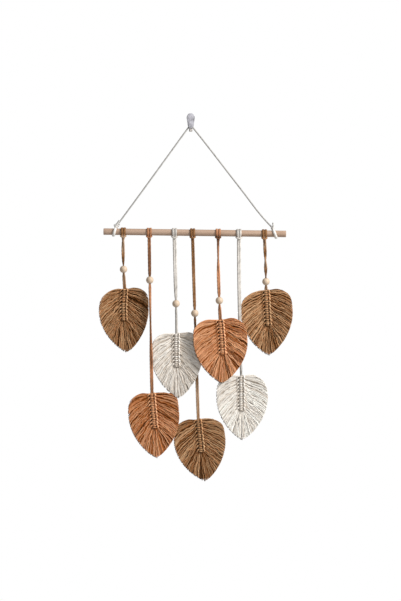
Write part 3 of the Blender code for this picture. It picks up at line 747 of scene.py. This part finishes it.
class HANGING_OT_hanger(bpy.types.Operator):
    """Make the hanging cord and the two ties that hold it to the dowel"""

    bl_idname = "hanging.hanger"
    bl_label = "Hanging cord"

    def execute(self, context):
        left, right = (
            centre + (toward - centre).normalized() * (TIE_KNOT_RADIUS + GAP)
            for centre, toward in zip(map(tie_knot_centre, TIES), (HANGER_ROUTE[0], HANGER_ROUTE[-1]))
        )
        uneven = random.Random(11)
        path, runs = spaced(smooth_curve([left, *HANGER_ROUTE, right]), 0.95 * MM)
        plies = rope(path, runs, Vector((0, 1, 0)), HANGER_RADIUS * HANGER_FULLNESS, HANGER_ROPE, uneven)
        cord = placed("hanging_cord", draw_tubes(plies), "cotton_hanger", ["hanger_cord"], 70)
        for tie, end in zip(TIES, (left, right)):
            self.tie(tie, end, uneven)
        return {"FINISHED"}

    def tie(self, tie, end, uneven):
        """Once round the dowel, a few times round itself as a knot, and out as a short free end."""
        centre = tie_knot_centre(tie)
        reach = DOWEL_RADIUS + GAP + HANGER_RADIUS
        points = [end, centre]
        for degrees in range(30, 346, 35):
            turn = math.radians(degrees)
            x = tie.x * MM + tie.slant * MM * (1 - math.cos(turn)) / 2
            points.append(by_dowel(x, reach * math.sin(turn), reach * math.cos(turn)))
        away = (end - centre).normalized()
        side = away.cross(Vector((0, -1, 0))).normalized()
        for k in range(tie.wraps * WRAP_STEPS + 1):
            turn = math.pi * (0.5 + 2 * k / WRAP_STEPS)
            out = Vector((0, -1, 0)) * math.sin(turn) + side * math.cos(turn)
            along = (k / WRAP_STEPS - 0.5) * WRAP_PITCH * MM
            points.append(centre + out * 1.6 * HANGER_RADIUS + away * along)
        tip = Vector((tie.tail_x, tie.tail_y, tie.tail_z)) * MM
        points += [centre.lerp(tip, 0.35) + Vector((0.6, -3.0, -0.6)) * MM, centre.lerp(tip, 0.7), tip]
        if tip.x < centre.x - 2 * MM:  # the left free end turns up along the cord
            points += [
                end + Vector((-2.4, -3.2, 1.4)) * MM, end + away * 14 * MM + Vector((-2.6, -2.4, 0)) * MM
            ]
        path, runs = spaced(smooth_curve(points), 0.8 * MM)
        pressed, shades = [], []
        for point in path:
            on_rod = ease((centre.z - point.z - 2 * MM) / (4 * MM))
            above = ease((point.z - centre.z - 2 * MM) / (4 * MM))
            pressed.append((1.2 + 0.5 * on_rod, 1.0))
            # Painted light: the tie is lighter still over the dowel, and less so on its free end above the
            # knot.
            shades.append(0.10 * on_rod - 0.22 * above)
        radius = HANGER_RADIUS * HANGER_FULLNESS
        plies = rope(path, runs, Vector((1, 0, 0)), radius, TIE_ROPE, uneven, pressed, shades)
        placed(tie.name.replace("hanger_", ""), draw_tubes(plies), "cotton_hanger", [tie.name], 70)


# ---- Hook and dowel ----

def arc(oval, start, end, steps):
    """Points on an oval of centre x and z and two radii, in degrees from +X towards +Z."""
    centre_x, centre_z, radius_x, radius_z = oval
    turns = [math.radians(start + (end - start) * k / steps) for k in range(steps + 1)]
    return [(centre_x + radius_x * math.cos(a), centre_z + radius_z * math.sin(a)) for a in turns]


def slab(bm, outline, back, front, ease_by, steps=3):
    """An outline in the wall's plane drawn out from one depth to another, its edges eased."""
    face = bm.faces.new([bm.verts.new((x, -back, z)) for x, z in outline])
    before = set(bm.edges)
    top = bmesh.ops.extrude_face_region(bm, geom=[face], use_keep_orig=True)["geom"]
    moved = [v for v in top if isinstance(v, bmesh.types.BMVert)]
    bmesh.ops.translate(bm, verts=moved, vec=(0, back - front, 0))
    rims = [e for e in top if isinstance(e, bmesh.types.BMEdge) and e not in before]
    bmesh.ops.bevel(
        bm, geom=rims + list(face.edges), offset=ease_by, segments=steps, affect="EDGES", profile=0.5,
        material=-1,
    )


class HANGING_OT_hook(bpy.types.Operator):
    """Make the clear hook and its adhesive strip"""

    bl_idname = "hanging.hook"
    bl_label = "Wall hook"

    def execute(self, context):
        bm = new_mesh()
        plate = arc(PLATE_HEAD, 0, 180, 28) + arc(PLATE_FOOT, 180, 360, 16)
        slab(bm, plate, PLATE_BACK, PLATE_FRONT, 1.1 * MM)
        half_span = math.degrees(math.acos((SEAT_BOTTOM - SEAT_CENTRE) / SEAT_RADIUS))
        seat = arc((0, SEAT_CENTRE, SEAT_RADIUS, SEAT_RADIUS), 90 - half_span, 90 + half_span, 14)
        slab(bm, seat, SEAT_BACK, SEAT_FRONT, 0.2 * MM, 1)
        lip = arc(LIP_HEAD, 0, 180, 16) + arc(LIP_FOOT, 180, 360, 16)
        slab(bm, lip, LIP_BACK, LIP_FRONT, 0.7 * MM)
        placed("wall_hook", bm, "hook_plastic", ["hook"], 50)

        bm = new_mesh()
        wide, narrow = STRIP_HEAD[2], STRIP_FOOT[2]
        outline = [
            *arc(STRIP_HEAD, 0, 180, 16), (-wide, TAB_STARTS), (-narrow, TAB_NARROWED),
            *arc(STRIP_FOOT, 180, 360, 10), (narrow, TAB_NARROWED), (wide, TAB_STARTS),
        ]
        slab(bm, outline, 0, STRIP_THICKNESS, 0.15 * MM, 1)
        placed("adhesive_strip", bm, "strip_adhesive", ["hook_strip"], 40)
        return {"FINISHED"}


class HANGING_OT_dowel(bpy.types.Operator):
    """Make the wooden dowel"""

    bl_idname = "hanging.dowel"
    bl_label = "Dowel"

    def execute(self, context):
        bm = new_mesh()
        bmesh.ops.create_cone(
            bm, cap_ends=True, segments=56, radius1=DOWEL_RADIUS, radius2=DOWEL_RADIUS, depth=DOWEL_LENGTH
        )
        rims = [e for e in bm.edges if abs(e.verts[0].co.z - e.verts[1].co.z) < 0.1 * MM]
        bmesh.ops.bevel(bm, geom=rims, offset=0.9 * MM, segments=4, affect="EDGES", profile=0.5, material=-1)
        sides = [e for e in bm.edges if abs(e.verts[0].co.z - e.verts[1].co.z) > DOWEL_LENGTH / 2]
        bmesh.ops.subdivide_edges(bm, edges=sides, cuts=60)
        uneven = random.Random(5)
        swells = [(uneven.uniform(20, 60), uneven.uniform(0, 6.3), uneven.uniform(0, 6.3)) for _ in range(4)]
        for vert in bm.verts:
            round_at = math.atan2(vert.co.y, vert.co.x)
            swell = sum(
                math.sin(vert.co.z * rate + phase + round_at * 2 + side) for rate, phase, side in swells
            )
            vert.co.xy *= 1 + 0.002 * swell
        axis = Vector((math.cos(DOWEL_TILT), 0, -math.sin(DOWEL_TILT)))
        turn = Vector((0, 0, 1)).rotation_difference(axis).to_matrix()
        bmesh.ops.rotate(bm, verts=bm.verts, matrix=turn, cent=(0, 0, 0))
        bmesh.ops.translate(bm, verts=bm.verts, vec=DOWEL_CENTRE)
        placed("wooden_dowel", bm, "dowel_wood", ["dowel"], 40)
        return {"FINISHED"}


# ---- Pendant cords and beads ----

# Of each cotton's pendant cords: the tone of the knot, and how broad a cord lies below it.
KNOT_TONES = {"brown": 0.12, "rust": 0.28, "white": 0.12}
CORD_BREADTHS = {"brown": 1.12, "rust": 1.18, "white": 1.45}
# The tone of each pendant's cord at heights in mm: it is darker where it turns from the light.
CORD_TONES = (
    ((-262, 0.62), (-276, 0.70), (-286, 0.50), (-294, 0.30), (-303, -0.08), (-318, -0.05), (-337, 0.56),
     (-348, 0.52), (-357, 0.43), (-370, 0.26)),
    ((-262, 0.18), (-276, 0.15), (-304, -0.02), (-342, -0.06), (-362, 0.27), (-392, 0.33), (-420, 0.15),
     (-440, 0.04), (-473, 0.10), (-501, 0.40), (-529, 0.17), (-557, 0.45), (-590, 0.08)),
    ((-262, 0.22), (-290, 0.20), (-322, 0.38), (-340, 0.25), (-357, 0.14), (-390, 0.04), (-425, 0.0),
     (-465, 0.20)),
    ((-262, 0.08), (-311, 0.07), (-344, 0.33), (-377, 0.18), (-410, 0.19), (-443, -0.22), (-575, 0.46),
     (-600, 0.64), (-650, 0.42)),
    ((-262, -0.10), (-269, -0.05), (-284, 0.17), (-299, 0.17), (-313, 0.44), (-328, 0.56), (-343, 0.50),
     (-357, 0.36), (-372, 0.25), (-388, 0.26), (-416, 0.34), (-431, 0.10)),
    ((-262, 0.18), (-360, 0.22), (-400, 0.12), (-530, 0.05), (-545, -0.08)),
    ((-262, 0.36), (-276, 0.58), (-285, 0.20), (-293, -0.15), (-304, 0.42), (-313, 0.66), (-322, 0.46),
     (-331, -0.06), (-341, 0.0), (-352, 0.30), (-370, 0.55)),
)

# Half of the knot on the dowel, from the pair up: across from the middle, forward of the dowel's axis, up.
# The cord goes up in front of the dowel, over it, down behind, and forward under it to the bar across.
KNOT_HALF = (
    (1.7, 3.4, -13.5), (1.7, 5.2, -10.2), (2.5, 7.6, -5.6), (2.8, 8.8, 0.0), (2.9, 6.3, 6.3),
    (2.9, 0.0, 8.7), (3.0, -6.3, 6.3), (3.5, -8.9, 0.0), (4.3, -6.3, -6.3), (5.0, -1.0, -9.2),
    (5.1, 4.4, -9.3), (3.7, 7.6, -10.8),
)
BAR_FORWARD, BAR_UP = 8.6 * MM, -12.2 * MM
BEAD_STEPS = 18  # from mouth to mouth
BORE_MOUTH = 0.5 * MM


def pair_centre(pendant, z):
    """The middle of a pendant's two cords at a height."""
    start = dowel_height(pendant.rod_x * MM) - DOWEL_RADIUS
    heights = (start, pendant.bead_z * MM, pendant.top_z * MM)
    across = (pendant.rod_x * MM, pendant.bead_x * MM, pendant.top_x * MM)
    outward = (DOWEL_CENTRE.y - PAIR_FORWARD, pendant.bead_y * MM, pendant.top_y * MM)
    return Vector((parabola(heights, across, z), parabola(heights, outward, z), z))


class HANGING_OT_cords(bpy.types.Operator):
    """Make each pendant's doubled cord, knotted over the dowel and led through its bead"""

    bl_idname = "hanging.cords"
    bl_label = "Pendant cords"

    def execute(self, context):
        for number, details in enumerate(zip(PENDANTS, TWISTS, CORD_TONES), 1):
            self.pendant_cord(number, *details)
        return {"FINISHED"}

    def half(self, pendant, twist, side):
        """From the leaf's top up to the middle of the bar."""
        z = pendant.top_z * MM - 1.5 * MM
        knot_z = dowel_height(pendant.rod_x * MM) - 17 * MM
        points = []
        while z < knot_z:
            away = abs(z - pendant.bead_z * MM)
            squeeze = mixed(BEAD_SQUEEZE, 1.0, ease((away - BEAD_RADIUS) / BEAD_RADIUS))
            turned = math.radians(through(twist, z / MM))
            apart = Vector((math.cos(turned), math.sin(turned), 0)) * side * CORD_RADIUS * squeeze
            points.append(pair_centre(pendant, z) + apart)
            z += 6 * MM
        for across, forward, up in KNOT_HALF:
            points.append(by_dowel(pendant.rod_x * MM + side * across * MM, forward * MM, up * MM))
        return points

    def pendant_cord(self, number, pendant, twist, tone_table):
        """One cord, from the leaf up and back to it, flat on the dowel and pressed together in its bead."""
        uneven = random.Random(100 + number)
        bar = by_dowel(pendant.rod_x * MM, BAR_FORWARD, BAR_UP)
        left, right = self.half(pendant, twist, -1), self.half(pendant, twist, 1)
        path, runs = spaced(smooth_curve([*left, bar, *reversed(right)], 12), 1.7 * MM)
        rod_z = dowel_height(pendant.rod_x * MM)
        pressed, shades = [], []
        for point in path:
            on_rod = ease((point.z - (rod_z - 9 * MM)) / (5 * MM))
            in_bead = ease(2 - abs(point.z - pendant.bead_z * MM) / BEAD_RADIUS)
            broad = mixed(CORD_BREADTHS[pendant.colour], 1.6, on_rod) - 0.3 * in_bead
            pressed.append((broad, 1.1 - 0.35 * on_rod - 0.3 * in_bead))
            shades.append(mixed(through(tone_table, point.z / MM), KNOT_TONES[pendant.colour], on_rod))
        kind = PENDANT_ROPES[pendant.colour]
        plies = rope(path, runs, Vector((1, 0, 0)), CORD_RADIUS, kind, uneven, pressed, shades)
        name = f"pendant_cord_{number}"
        placed(name, draw_tubes(plies), "cotton_" + pendant.colour, [f"strand_{number}"], 70)


class HANGING_OT_beads(bpy.types.Operator):
    """Make the wooden beads"""

    bl_idname = "hanging.beads"
    bl_label = "Beads"

    def execute(self, context):
        start = math.asin(BEAD_BORE / BEAD_RADIUS)
        turns = [start + (math.pi - 2 * start) * k / BEAD_STEPS for k in range(BEAD_STEPS + 1)]
        outline = [(BEAD_RADIUS * math.sin(a), 0, BEAD_RADIUS * math.cos(a)) for a in turns]
        top, bottom = outline[0][2], outline[-1][2]
        inner = BEAD_BORE - BORE_MOUTH
        outline += [(inner, 0, bottom + BORE_MOUTH), (inner, 0, top - BORE_MOUTH)]
        for number, pendant in enumerate(PENDANTS, 1):
            bm = new_mesh()
            verts = [bm.verts.new(point) for point in outline]
            edges = [bm.edges.new(pair) for pair in zip(verts, verts[1:] + verts[:1])]
            bmesh.ops.spin(
                bm, geom=verts + edges, axis=(0, 0, 1), cent=(0, 0, 0), angle=2 * math.pi, steps=40,
                use_merge=True,
            )
            bmesh.ops.remove_doubles(bm, verts=bm.verts, dist=0.01 * MM)
            middle = pendant.bead_z * MM
            along = pair_centre(pendant, middle + MM) - pair_centre(pendant, middle - MM)
            turn = along.to_track_quat("Z", "Y").to_matrix()
            bmesh.ops.rotate(bm, verts=bm.verts, matrix=turn, cent=(0, 0, 0))
            bmesh.ops.translate(bm, verts=bm.verts, vec=pair_centre(pendant, middle))
            placed(f"wooden_bead_{number}", bm, "bead_wood", [f"bead_{number}"], 50)
        return {"FINISHED"}


# ---- Leaves ----

def leaf_point(pendant, across, down, forward):
    """A place on a leaf, from its top: across to the right, down its length, forward of its middle plane."""
    length = pendant.length * MM
    share = min(max(down / length, 0), 1)
    across += pendant.bow * MM * 4 * share * (1 - share)
    half = (pendant.right if across > 0 else pendant.left) * MM
    forward += pendant.dish * MM * (abs(across) / half) ** DISH_POWER
    lean = math.radians(pendant.lean)
    x = across * math.cos(lean) + down * math.sin(lean)
    z = across * math.sin(lean) - down * math.cos(lean)
    return Vector((pendant.top_x * MM + x, pendant.top_y * MM - forward, pendant.top_z * MM + z))


def half_width(share, shoulder):
    """The outline's half width, 1 at the widest, at a share of the leaf's length."""
    if share < WIDEST_AT:
        return (1 - (1 - share / WIDEST_AT) ** shoulder) ** (1 / shoulder)
    past = min((share - WIDEST_AT) / (1 - WIDEST_AT), 1)
    return (1 - past ** TAPER_POWER) ** TAPER_ROUND


def rim_point(pendant, side, share):
    """The rim of one half at a share of the leaf's length. Its shoulder may be above or below the top."""
    if side > 0:
        width, shoulder, rise = pendant.right, pendant.right_shoulder, pendant.right_rise
    else:
        width, shoulder, rise = pendant.left, pendant.left_shoulder, pendant.left_rise
    up = rise * max(1 - share / WIDEST_AT, 0) ** 3
    return Vector((width * MM * half_width(share, shoulder), share * pendant.length * MM - up * MM))


def fibre_line(root, rim, leave, land):
    """A fibre's Bezier from the spine to the rim, which leaves and lands at angles below level."""
    third = (rim - root).length / 3
    first = root + Vector((math.cos(leave), math.sin(leave))) * third
    second = rim - Vector((math.cos(land), math.sin(land))) * third
    return lambda t: (
        root * (1 - t) ** 3 + first * 3 * t * (1 - t) ** 2 + second * 3 * t ** 2 * (1 - t) + rim * t ** 3
    )


KNOT_PITCH = 8.4 * MM
RIM_STEPS = 400
FIRST_SHARE = 0.012  # of the rim, where the top clump starts
FOOT_CLUMPS = 4
FOOT_SPREAD = 1.25
FOOT_LAND = math.radians(88)
CORD_WIDTH = 6.5 * MM  # of a clump's combed cord, at the rim
LOCKS = 4  # of strands in each cord
STRAY_LOCKS = 3  # over each clump, combed a little astray
FRINGE_STEPS = (0.0, 0.12, 0.25, 0.39, 0.53, 0.68, 0.84, 1.0)
FRINGE_THICKNESS = ((0.0, 1.5), (0.3, 2.4), (1.0, 1.8))  # half of it in mm, from the spine to the rim
GROOVE = 3.2 * MM
FRINGE_TONE = 0.62
# The left rim's under strands stand out a little and are painted dark: painted shade on the rim's edge,
# which faces away from the light.
RIM_REACH, RIM_SHADE = 0.018, 0.90  # how far the left rim's under side stands out, and how dark it is

# Of each side: how far out its clumps leave the spine; where they end on the rim, as a share of the
# length and a power of their place on the spine; how deep the grooves between its cords are, and with
# that how much painted shade they get, more on the right side, which faces away from the light; how far
# its locks stray along the rim; and the clumps' angles below level in degrees, where they leave the
# spine and where they end, from the top down. The top knot's cords part in two clumps.
SIDES = {
    -1: SimpleNamespace(
        reach=7.6 * MM, rim_end=0.80, power=0.52, groove=0.6, stray=0.16,
        leave=(-2, 14, 34, 42, 46, 48, 50, 52), land=(44, 56, 60, 60, 58, 56, 54, 54),
    ),
    1: SimpleNamespace(
        reach=5.6 * MM, rim_end=0.77, power=0.56, groove=1.0, stray=0.08,
        leave=(-2, 12, 30, 38, 42, 44, 45, 46), land=(40, 50, 52, 50, 50, 50, 50, 50),
    ),
}
TOP_SWAYS = (0.25, 0.6, 1.0)  # how much the clumps' cords sway, from the top down

# The cords that show in one knot of a spine, from its middle: across and forward in mm, and down in
# shares of the pitch. Two bars lie over the middle, a loop stands up at their right, and at their left an
# arc leads down into the fringe. With each, its tone and how full it is; the bars' and the loop's tones,
# above the fringe's, are painted light on the parts that stand forward into the light.
SPINE_ROUTES = (
    (
        ((-4.6, -0.30, -1.0), (-3.6, -0.27, 2.6), (-1.2, -0.25, 4.8), (1.2, -0.25, 4.4), (2.4, -0.22, 1.0)),
        0.74, 1.0,
    ),
    (
        ((-4.6, 0.22, -1.0), (-3.6, 0.24, 2.2), (-1.2, 0.25, 4.4), (1.2, 0.25, 4.0), (2.4, 0.28, 1.0)),
        0.70, 1.0,
    ),
    (
        ((4.2, -0.50, -0.8), (5.2, -0.42, 3.2), (6.4, -0.20, 5.6), (7.0, 0.02, 6.0), (6.8, 0.20, 5.2),
         (6.0, 0.34, 2.8), (4.8, 0.38, -0.8)),
        0.88, 1.15,
    ),
    (
        ((-4.4, -0.40, 0.4), (-5.8, -0.38, 2.2), (-7.6, -0.24, 3.0), (-9.0, 0.00, 2.4), (-10.4, 0.22, 1.0)),
        0.60, 1.0,
    ),
)
SPINE_CORD_RADIUS = 1.6 * MM
# Painted shade: on leaves of low relief the knots' painted-light tones are drawn down towards this one.
PALE_SPINE_TONE = 0.22  # that a spine nears where its leaf's relief is low
# The cords inside a spine are painted dark, the more so the higher its leaf's relief: painted shade in the
# notches between the knots.
CORE_CORDS = (-6.0, -2.6, 0.0, 2.6, 5.2)  # across, of the cords that run down inside a spine


def fringe_clumps(pendant, side, knots):
    """The clumps combed out to one side: where each leaves the spine, and its stretch of the rim."""
    kind = SIDES[side]
    points = [rim_point(pendant, side, k / RIM_STEPS) for k in range(RIM_STEPS + 1)]
    run = run_along(points)
    straight = pendant.spine * MM - SPINE_HALF_WIDTH
    places = (0, 0.2, *range(1, knots + 1))
    shares = [mixed(FIRST_SHARE, kind.rim_end, (k / knots) ** kind.power) for k in places]
    shares += [
        mixed(kind.rim_end, 1, 1 - (1 - k / FOOT_CLUMPS) ** FOOT_SPREAD) for k in range(1, FOOT_CLUMPS + 1)
    ]
    ends = [run[round(share * RIM_STEPS)] for share in shares]
    # How strongly a clump's tones and grooves are painted: halfway to its leaf's relief on the right half,
    # which turns from the light and so gets more painted shade, and on both halves of a leaf of low relief.
    contrast = mixed(1, pendant.relief, 0.5 if side > 0 or pendant.relief < 1 else 0)
    clumps = []
    stretches = [(0.25, 0.25), (0.75, 0.25)] + [(k + 0.5, 0.5) for k in range(1, knots)]
    for k, (middle, half) in enumerate(stretches):
        row = min(k, len(kind.leave) - 1)
        clumps.append(SimpleNamespace(
            root=Vector((kind.reach, middle * straight / knots)), spread=Vector((0, 1)),
            half=half * straight / knots, sway=TOP_SWAYS[min(k, 2)], contrast=contrast,
            leave=math.radians(kind.leave[row]), land=math.radians(kind.land[row]),
        ))
    for k in range(FOOT_CLUMPS):
        turn = FOOT_TURN * (k + 0.5) / FOOT_CLUMPS
        out = Vector((math.cos(turn), math.sin(turn))) * kind.reach * mixed(1, 0.6, k / (FOOT_CLUMPS - 1))
        angle = mixed(math.radians(kind.leave[-1]), FOOT_LAND, (k + 0.5) / FOOT_CLUMPS)
        clumps.append(SimpleNamespace(
            root=out + Vector((0, straight)), spread=Vector((-math.sin(turn), math.cos(turn))),
            half=kind.reach * FOOT_TURN / FOOT_CLUMPS / 2, leave=angle, land=mixed(angle, FOOT_LAND, 0.3),
            sway=TOP_SWAYS[-1], contrast=contrast * max(1.2 * min(pendant.relief, 1.0), 1.0),
        ))
    for clump, start, end in zip(clumps, ends, ends[1:]):
        clump.start, clump.end, clump.points, clump.run = start, end, points, run
        clump.cords = max(2, round((end - start) / CORD_WIDTH))
    return clumps


class HANGING_OT_leaves(bpy.types.Operator):
    """Make the leaves: a spine of interlocked knots with their cords combed out to both sides"""

    bl_idname = "hanging.leaves"
    bl_label = "Leaves"

    def execute(self, context):
        settings = context.scene.hanging_cotton
        for number, pendant in enumerate(PENDANTS, 1):
            finish, nodes = "cotton_" + pendant.colour, [f"leaf_{number}"]
            knots = round(pendant.spine * MM / KNOT_PITCH)
            # The leaf's core is a dark sheet: painted shade in the fringe's grooves.
            placed(f"leaf_core_{number}", self.core(pendant), finish, nodes, 70, combed=True)
            spine = self.spine(pendant, knots, random.Random(300 + number))
            placed(f"leaf_spine_{number}", draw_tubes(spine), finish, nodes, 70, combed=True)
            fringe = self.fringe(pendant, knots, settings, random.Random(500 + number))
            placed(f"leaf_fringe_{number}", draw_tubes(fringe), finish, nodes, combed=True)
        return {"FINISHED"}

    def core(self, pendant):
        """A dark sheet inside the fringe, seen only down its grooves: painted shade."""
        # Its tone is left at nought, which the cotton's ramp makes dark: painted shade.
        bm = new_mesh()
        bmesh.ops.create_grid(bm, x_segments=14, y_segments=14, size=1)
        for vert in bm.verts:
            share = 0.02 + 0.94 * (1 - vert.co.y) / 2
            across = vert.co.x * rim_point(pendant, vert.co.x, share).x * 0.95
            vert.co = leaf_point(pendant, across, share * pendant.length * MM, -0.35 * MM)
        bmesh.ops.solidify(bm, geom=bm.faces, thickness=0.7 * MM)
        return bm

    def spine(self, pendant, knots, uneven):
        """The knots' cords, and those that run down inside them."""
        tubes = []
        pitch = (pendant.spine * MM - SPINE_HALF_WIDTH * 0.5) / knots
        for k in range(knots):
            middle = (k + 0.5) * pitch
            nudge = uneven.uniform(-0.35, 0.35) * MM
            for route, tone, fullness in SPINE_ROUTES:
                # Painted light on the bars and the loop, drawn down towards painted shade on leaves of low
                # relief.
                tone = mixed(PALE_SPINE_TONE, tone, min(pendant.relief, 1)) + uneven.gauss(0, 0.09)
                points = []
                for across, down, forward in route:
                    jog = Vector([uneven.uniform(-0.2, 0.2) * MM for _ in range(3)])
                    place = leaf_point(pendant, across * MM + nudge, middle + down * pitch, forward * MM)
                    points.append(place + jog)
                path, runs = spaced(smooth_curve(points, 10), 1.9 * MM)
                radius = SPINE_CORD_RADIUS * fullness
                shades = [tone] * len(path)
                tubes += rope(path, runs, Vector((0.3, 0.3, 1)), radius, SPINE_ROPE, uneven, None, shades)
        for across in CORE_CORDS:
            points = [
                leaf_point(pendant, across * MM, pendant.spine * MM * (0.02 + 0.86 * k / 8), -0.2 * MM)
                for k in range(9)
            ]
            path, runs = spaced(points, 4.0 * MM)
            # Painted shade: the inner cords show dark in the notches between the knots.
            shades = [mixed(0.30, -0.25, pendant.relief)] * len(path)
            tubes += rope(path, runs, Vector((1, 0, 0)), CORD_RADIUS, SPINE_ROPE, uneven, None, shades)
        return tubes

    def fringe(self, pendant, knots, settings, uneven):
        """The strands of both sides."""
        tubes = []
        for side in (-1, 1):
            for clump in fringe_clumps(pendant, side, knots):
                tubes += self.clump(pendant, side, clump, settings, uneven)
        return tubes

    def clump(self, pendant, side, clump, settings, uneven):
        """One clump: its cords, each of locks of strands that fan out from the spine to the rim."""
        tubes = []
        clump_tone = uneven.gauss(FRINGE_TONE, 0.05) + pendant.tone + (pendant.right_tone if side > 0 else 0)
        clump_lift = uneven.uniform(-0.7, 0.7) * MM * pendant.relief
        share = 1 / clump.cords
        for cord in range(clump.cords):
            middle = (2 * cord + 1) * share - 1
            sway = self.sway(0.5, 1.5, uneven)
            cord_tone = clump_tone + uneven.gauss(0, 0.12) * clump.contrast
            lift = clump_lift + uneven.uniform(-0.5, 0.5) * MM
            for lock in range(LOCKS):
                within = (lock + 0.5) / LOCKS * 2 - 1
                front = (1 if lock % 2 else -1) * 0.6
                rim_shift = uneven.gauss(0, SIDES[side].stray)
                # One lock in five is painted darker: painted shade in the gaps between locks.
                tone = cord_tone + (uneven.gauss(0, 0.20) - 0.35 * (uneven.random() < 0.2)) * clump.contrast
                seed = uneven.random() * 40
                sways = (sway, self.sway(0.1, 0.5, uneven))
                for _ in range(settings.strands):
                    inside = within * 0.75 + uneven.gauss(0, 0.20)
                    own = SimpleNamespace(
                        w=middle + inside * share * 0.94, rim_w=middle + inside * share * 1.2 + rim_shift,
                        inside=min(abs(inside), 1.0), front=front + uneven.gauss(0, 0.28), lift=lift,
                        tone=tone + uneven.gauss(0, 0.05), seed=seed + uneven.uniform(0, 0.05),
                        sways=sways, aside=uneven.gauss(0, 0.25) * MM, trim=abs(uneven.gauss(0, 0.012)),
                    )
                    tubes.append(self.strand(pendant, side, clump, own, settings.strand_radius, uneven))
        for _ in range(STRAY_LOCKS):
            w, aside = uneven.uniform(-0.8, 0.8), uneven.gauss(0, 0.75)
            tone, seed = clump_tone + uneven.gauss(0.04, 0.18), uneven.random() * 40
            sways = (sway, self.sway(0.3, 1.0, uneven))
            for _ in range(settings.strands // 2):
                own = SimpleNamespace(
                    w=w + uneven.gauss(0, 0.06), rim_w=w + aside + uneven.gauss(0, 0.10), inside=0.2,
                    front=0.95 + uneven.gauss(0, 0.10), lift=clump_lift, tone=tone,
                    seed=seed + uneven.uniform(0, 0.05), sways=sways, aside=uneven.gauss(0, 0.2) * MM,
                    trim=abs(uneven.gauss(0, 0.012)),
                )
                tubes.append(self.strand(pendant, side, clump, own, settings.strand_radius, uneven))
        return tubes

    def sway(self, least, most, uneven):
        """A wave across a cord or a lock: its reach, its length and where it starts."""
        return SimpleNamespace(
            reach=uneven.uniform(least, most) * MM, length=uneven.uniform(17, 30) * MM,
            start=uneven.uniform(0, 2 * math.pi),
        )

    def strand(self, pendant, side, clump, own, radius, uneven):
        """One strand from the spine to the rim, as a tube.

        Painted shade makes it darker where it leaves the spine, down in the groove between two cords, and
        under the left rim; painted light makes a front strand lighter towards the rim.
        """
        root = clump.root + clump.spread * own.w * clump.half * 0.95
        rim = on_line(clump.points, clump.run, mixed(clump.start, clump.end, 0.5 + own.rim_w * 0.5))
        line = fibre_line(root, rim, clump.leave, clump.land)
        length = (rim - root).length
        groove = pendant.relief * clump.contrast * SIDES[side].groove * own.inside ** 2.4
        under = side < 0 and own.front < -0.3
        path, runs, tones = [], [], []
        for t in FRINGE_STEPS:
            t *= 1 - own.trim
            at = line(t) * (1 + RIM_REACH * under * t)
            ahead = (line(min(t + 0.02, 1.0)) - line(max(t - 0.02, 0.0))).normalized()
            wave = sum(s.reach * math.sin(2 * math.pi * t * length / s.length + s.start) for s in own.sways)
            wave *= clump.sway
            at += Vector((-ahead.y, ahead.x)) * (wave + own.aside) * ease(4 * t) * (1 - t ** 4)
            sunk = groove * GROOVE * math.sin(math.pi * min(t * 0.8 + 0.15, 1))
            forward = own.front * through(FRINGE_THICKNESS, t) * MM + own.lift * min(3 * t, 1)
            forward += -sunk if own.front > 0 else sunk * 0.5
            path.append(leaf_point(pendant, side * at.x, at.y, forward))
            runs.append(t * length)
            # Painted shade in the grooves and below the spine's knots; painted light on a front strand
            # towards the rim, and painted shade on an under strand at the left rim.
            dark = 0.85 * groove * (1 - 0.4 * t) + 0.30 * (1 - ease(t / 0.16))
            lighter = 0.10 * t if own.front > 0 else -RIM_SHADE * under * ease(t * 3.4 - 2.4)
            tones.append(own.tone - dark + lighter)
        turned = uneven.uniform(0, 2 * math.pi)
        rings = []
        for k, (wide, deep) in enumerate(frames(path, Vector((0.1, 1, 0.1)))):
            thick = radius * (0.8 if k == len(path) - 1 else 1.0)
            rings.append(ring_round(path[k], wide, deep, thick, thick, 3, turned))
        return rings, runs, tones, own.seed


# ---- Panel and registration ----

class HANGING_PT_panel(bpy.types.Panel):
    """Lists the steps that dress the hanging"""

    bl_idname = "HANGING_PT_panel"
    bl_label = "Macrame leaf hanging"
    bl_space_type = "VIEW_3D"
    bl_region_type = "UI"
    bl_category = "Hanging"

    def draw(self, context):
        for operator in OPERATORS:
            self.layout.operator(operator.bl_idname)
        for group in SETTINGS:
            settings = getattr(context.scene, group)
            for name in settings.bl_rna.properties.keys():
                if name not in ("rna_type", "name"):
                    self.layout.prop(settings, name)


OPERATORS = (
    HANGING_OT_stage,
    HANGING_OT_hanger,
    HANGING_OT_hook,
    HANGING_OT_dowel,
    HANGING_OT_cords,
    HANGING_OT_beads,
    HANGING_OT_leaves,
)
SETTINGS = {
    "hanging_cotton": HangingCotton,
    "hanging_wood": HangingWood,
    "hanging_hook": HangingHook,
    "hanging_stage": HangingStage,
}


def register():
    for group in (*SETTINGS.values(), *OPERATORS, HANGING_PT_panel):
        bpy.utils.register_class(group)
    for name, group in SETTINGS.items():
        setattr(bpy.types.Scene, name, PointerProperty(type=group))


def unregister():
    for name in SETTINGS:
        delattr(bpy.types.Scene, name)
    for group in reversed((*SETTINGS.values(), *OPERATORS, HANGING_PT_panel)):
        bpy.utils.unregister_class(group)


def main():
    """Dresses the hanging."""
    register()
    bpy.ops.hanging.stage()
    bpy.ops.hanging.hanger()
    bpy.ops.hanging.hook()
    bpy.ops.hanging.dowel()
    bpy.ops.hanging.cords()
    bpy.ops.hanging.beads()
    bpy.ops.hanging.leaves()


if __name__ == "__main__":
    main()
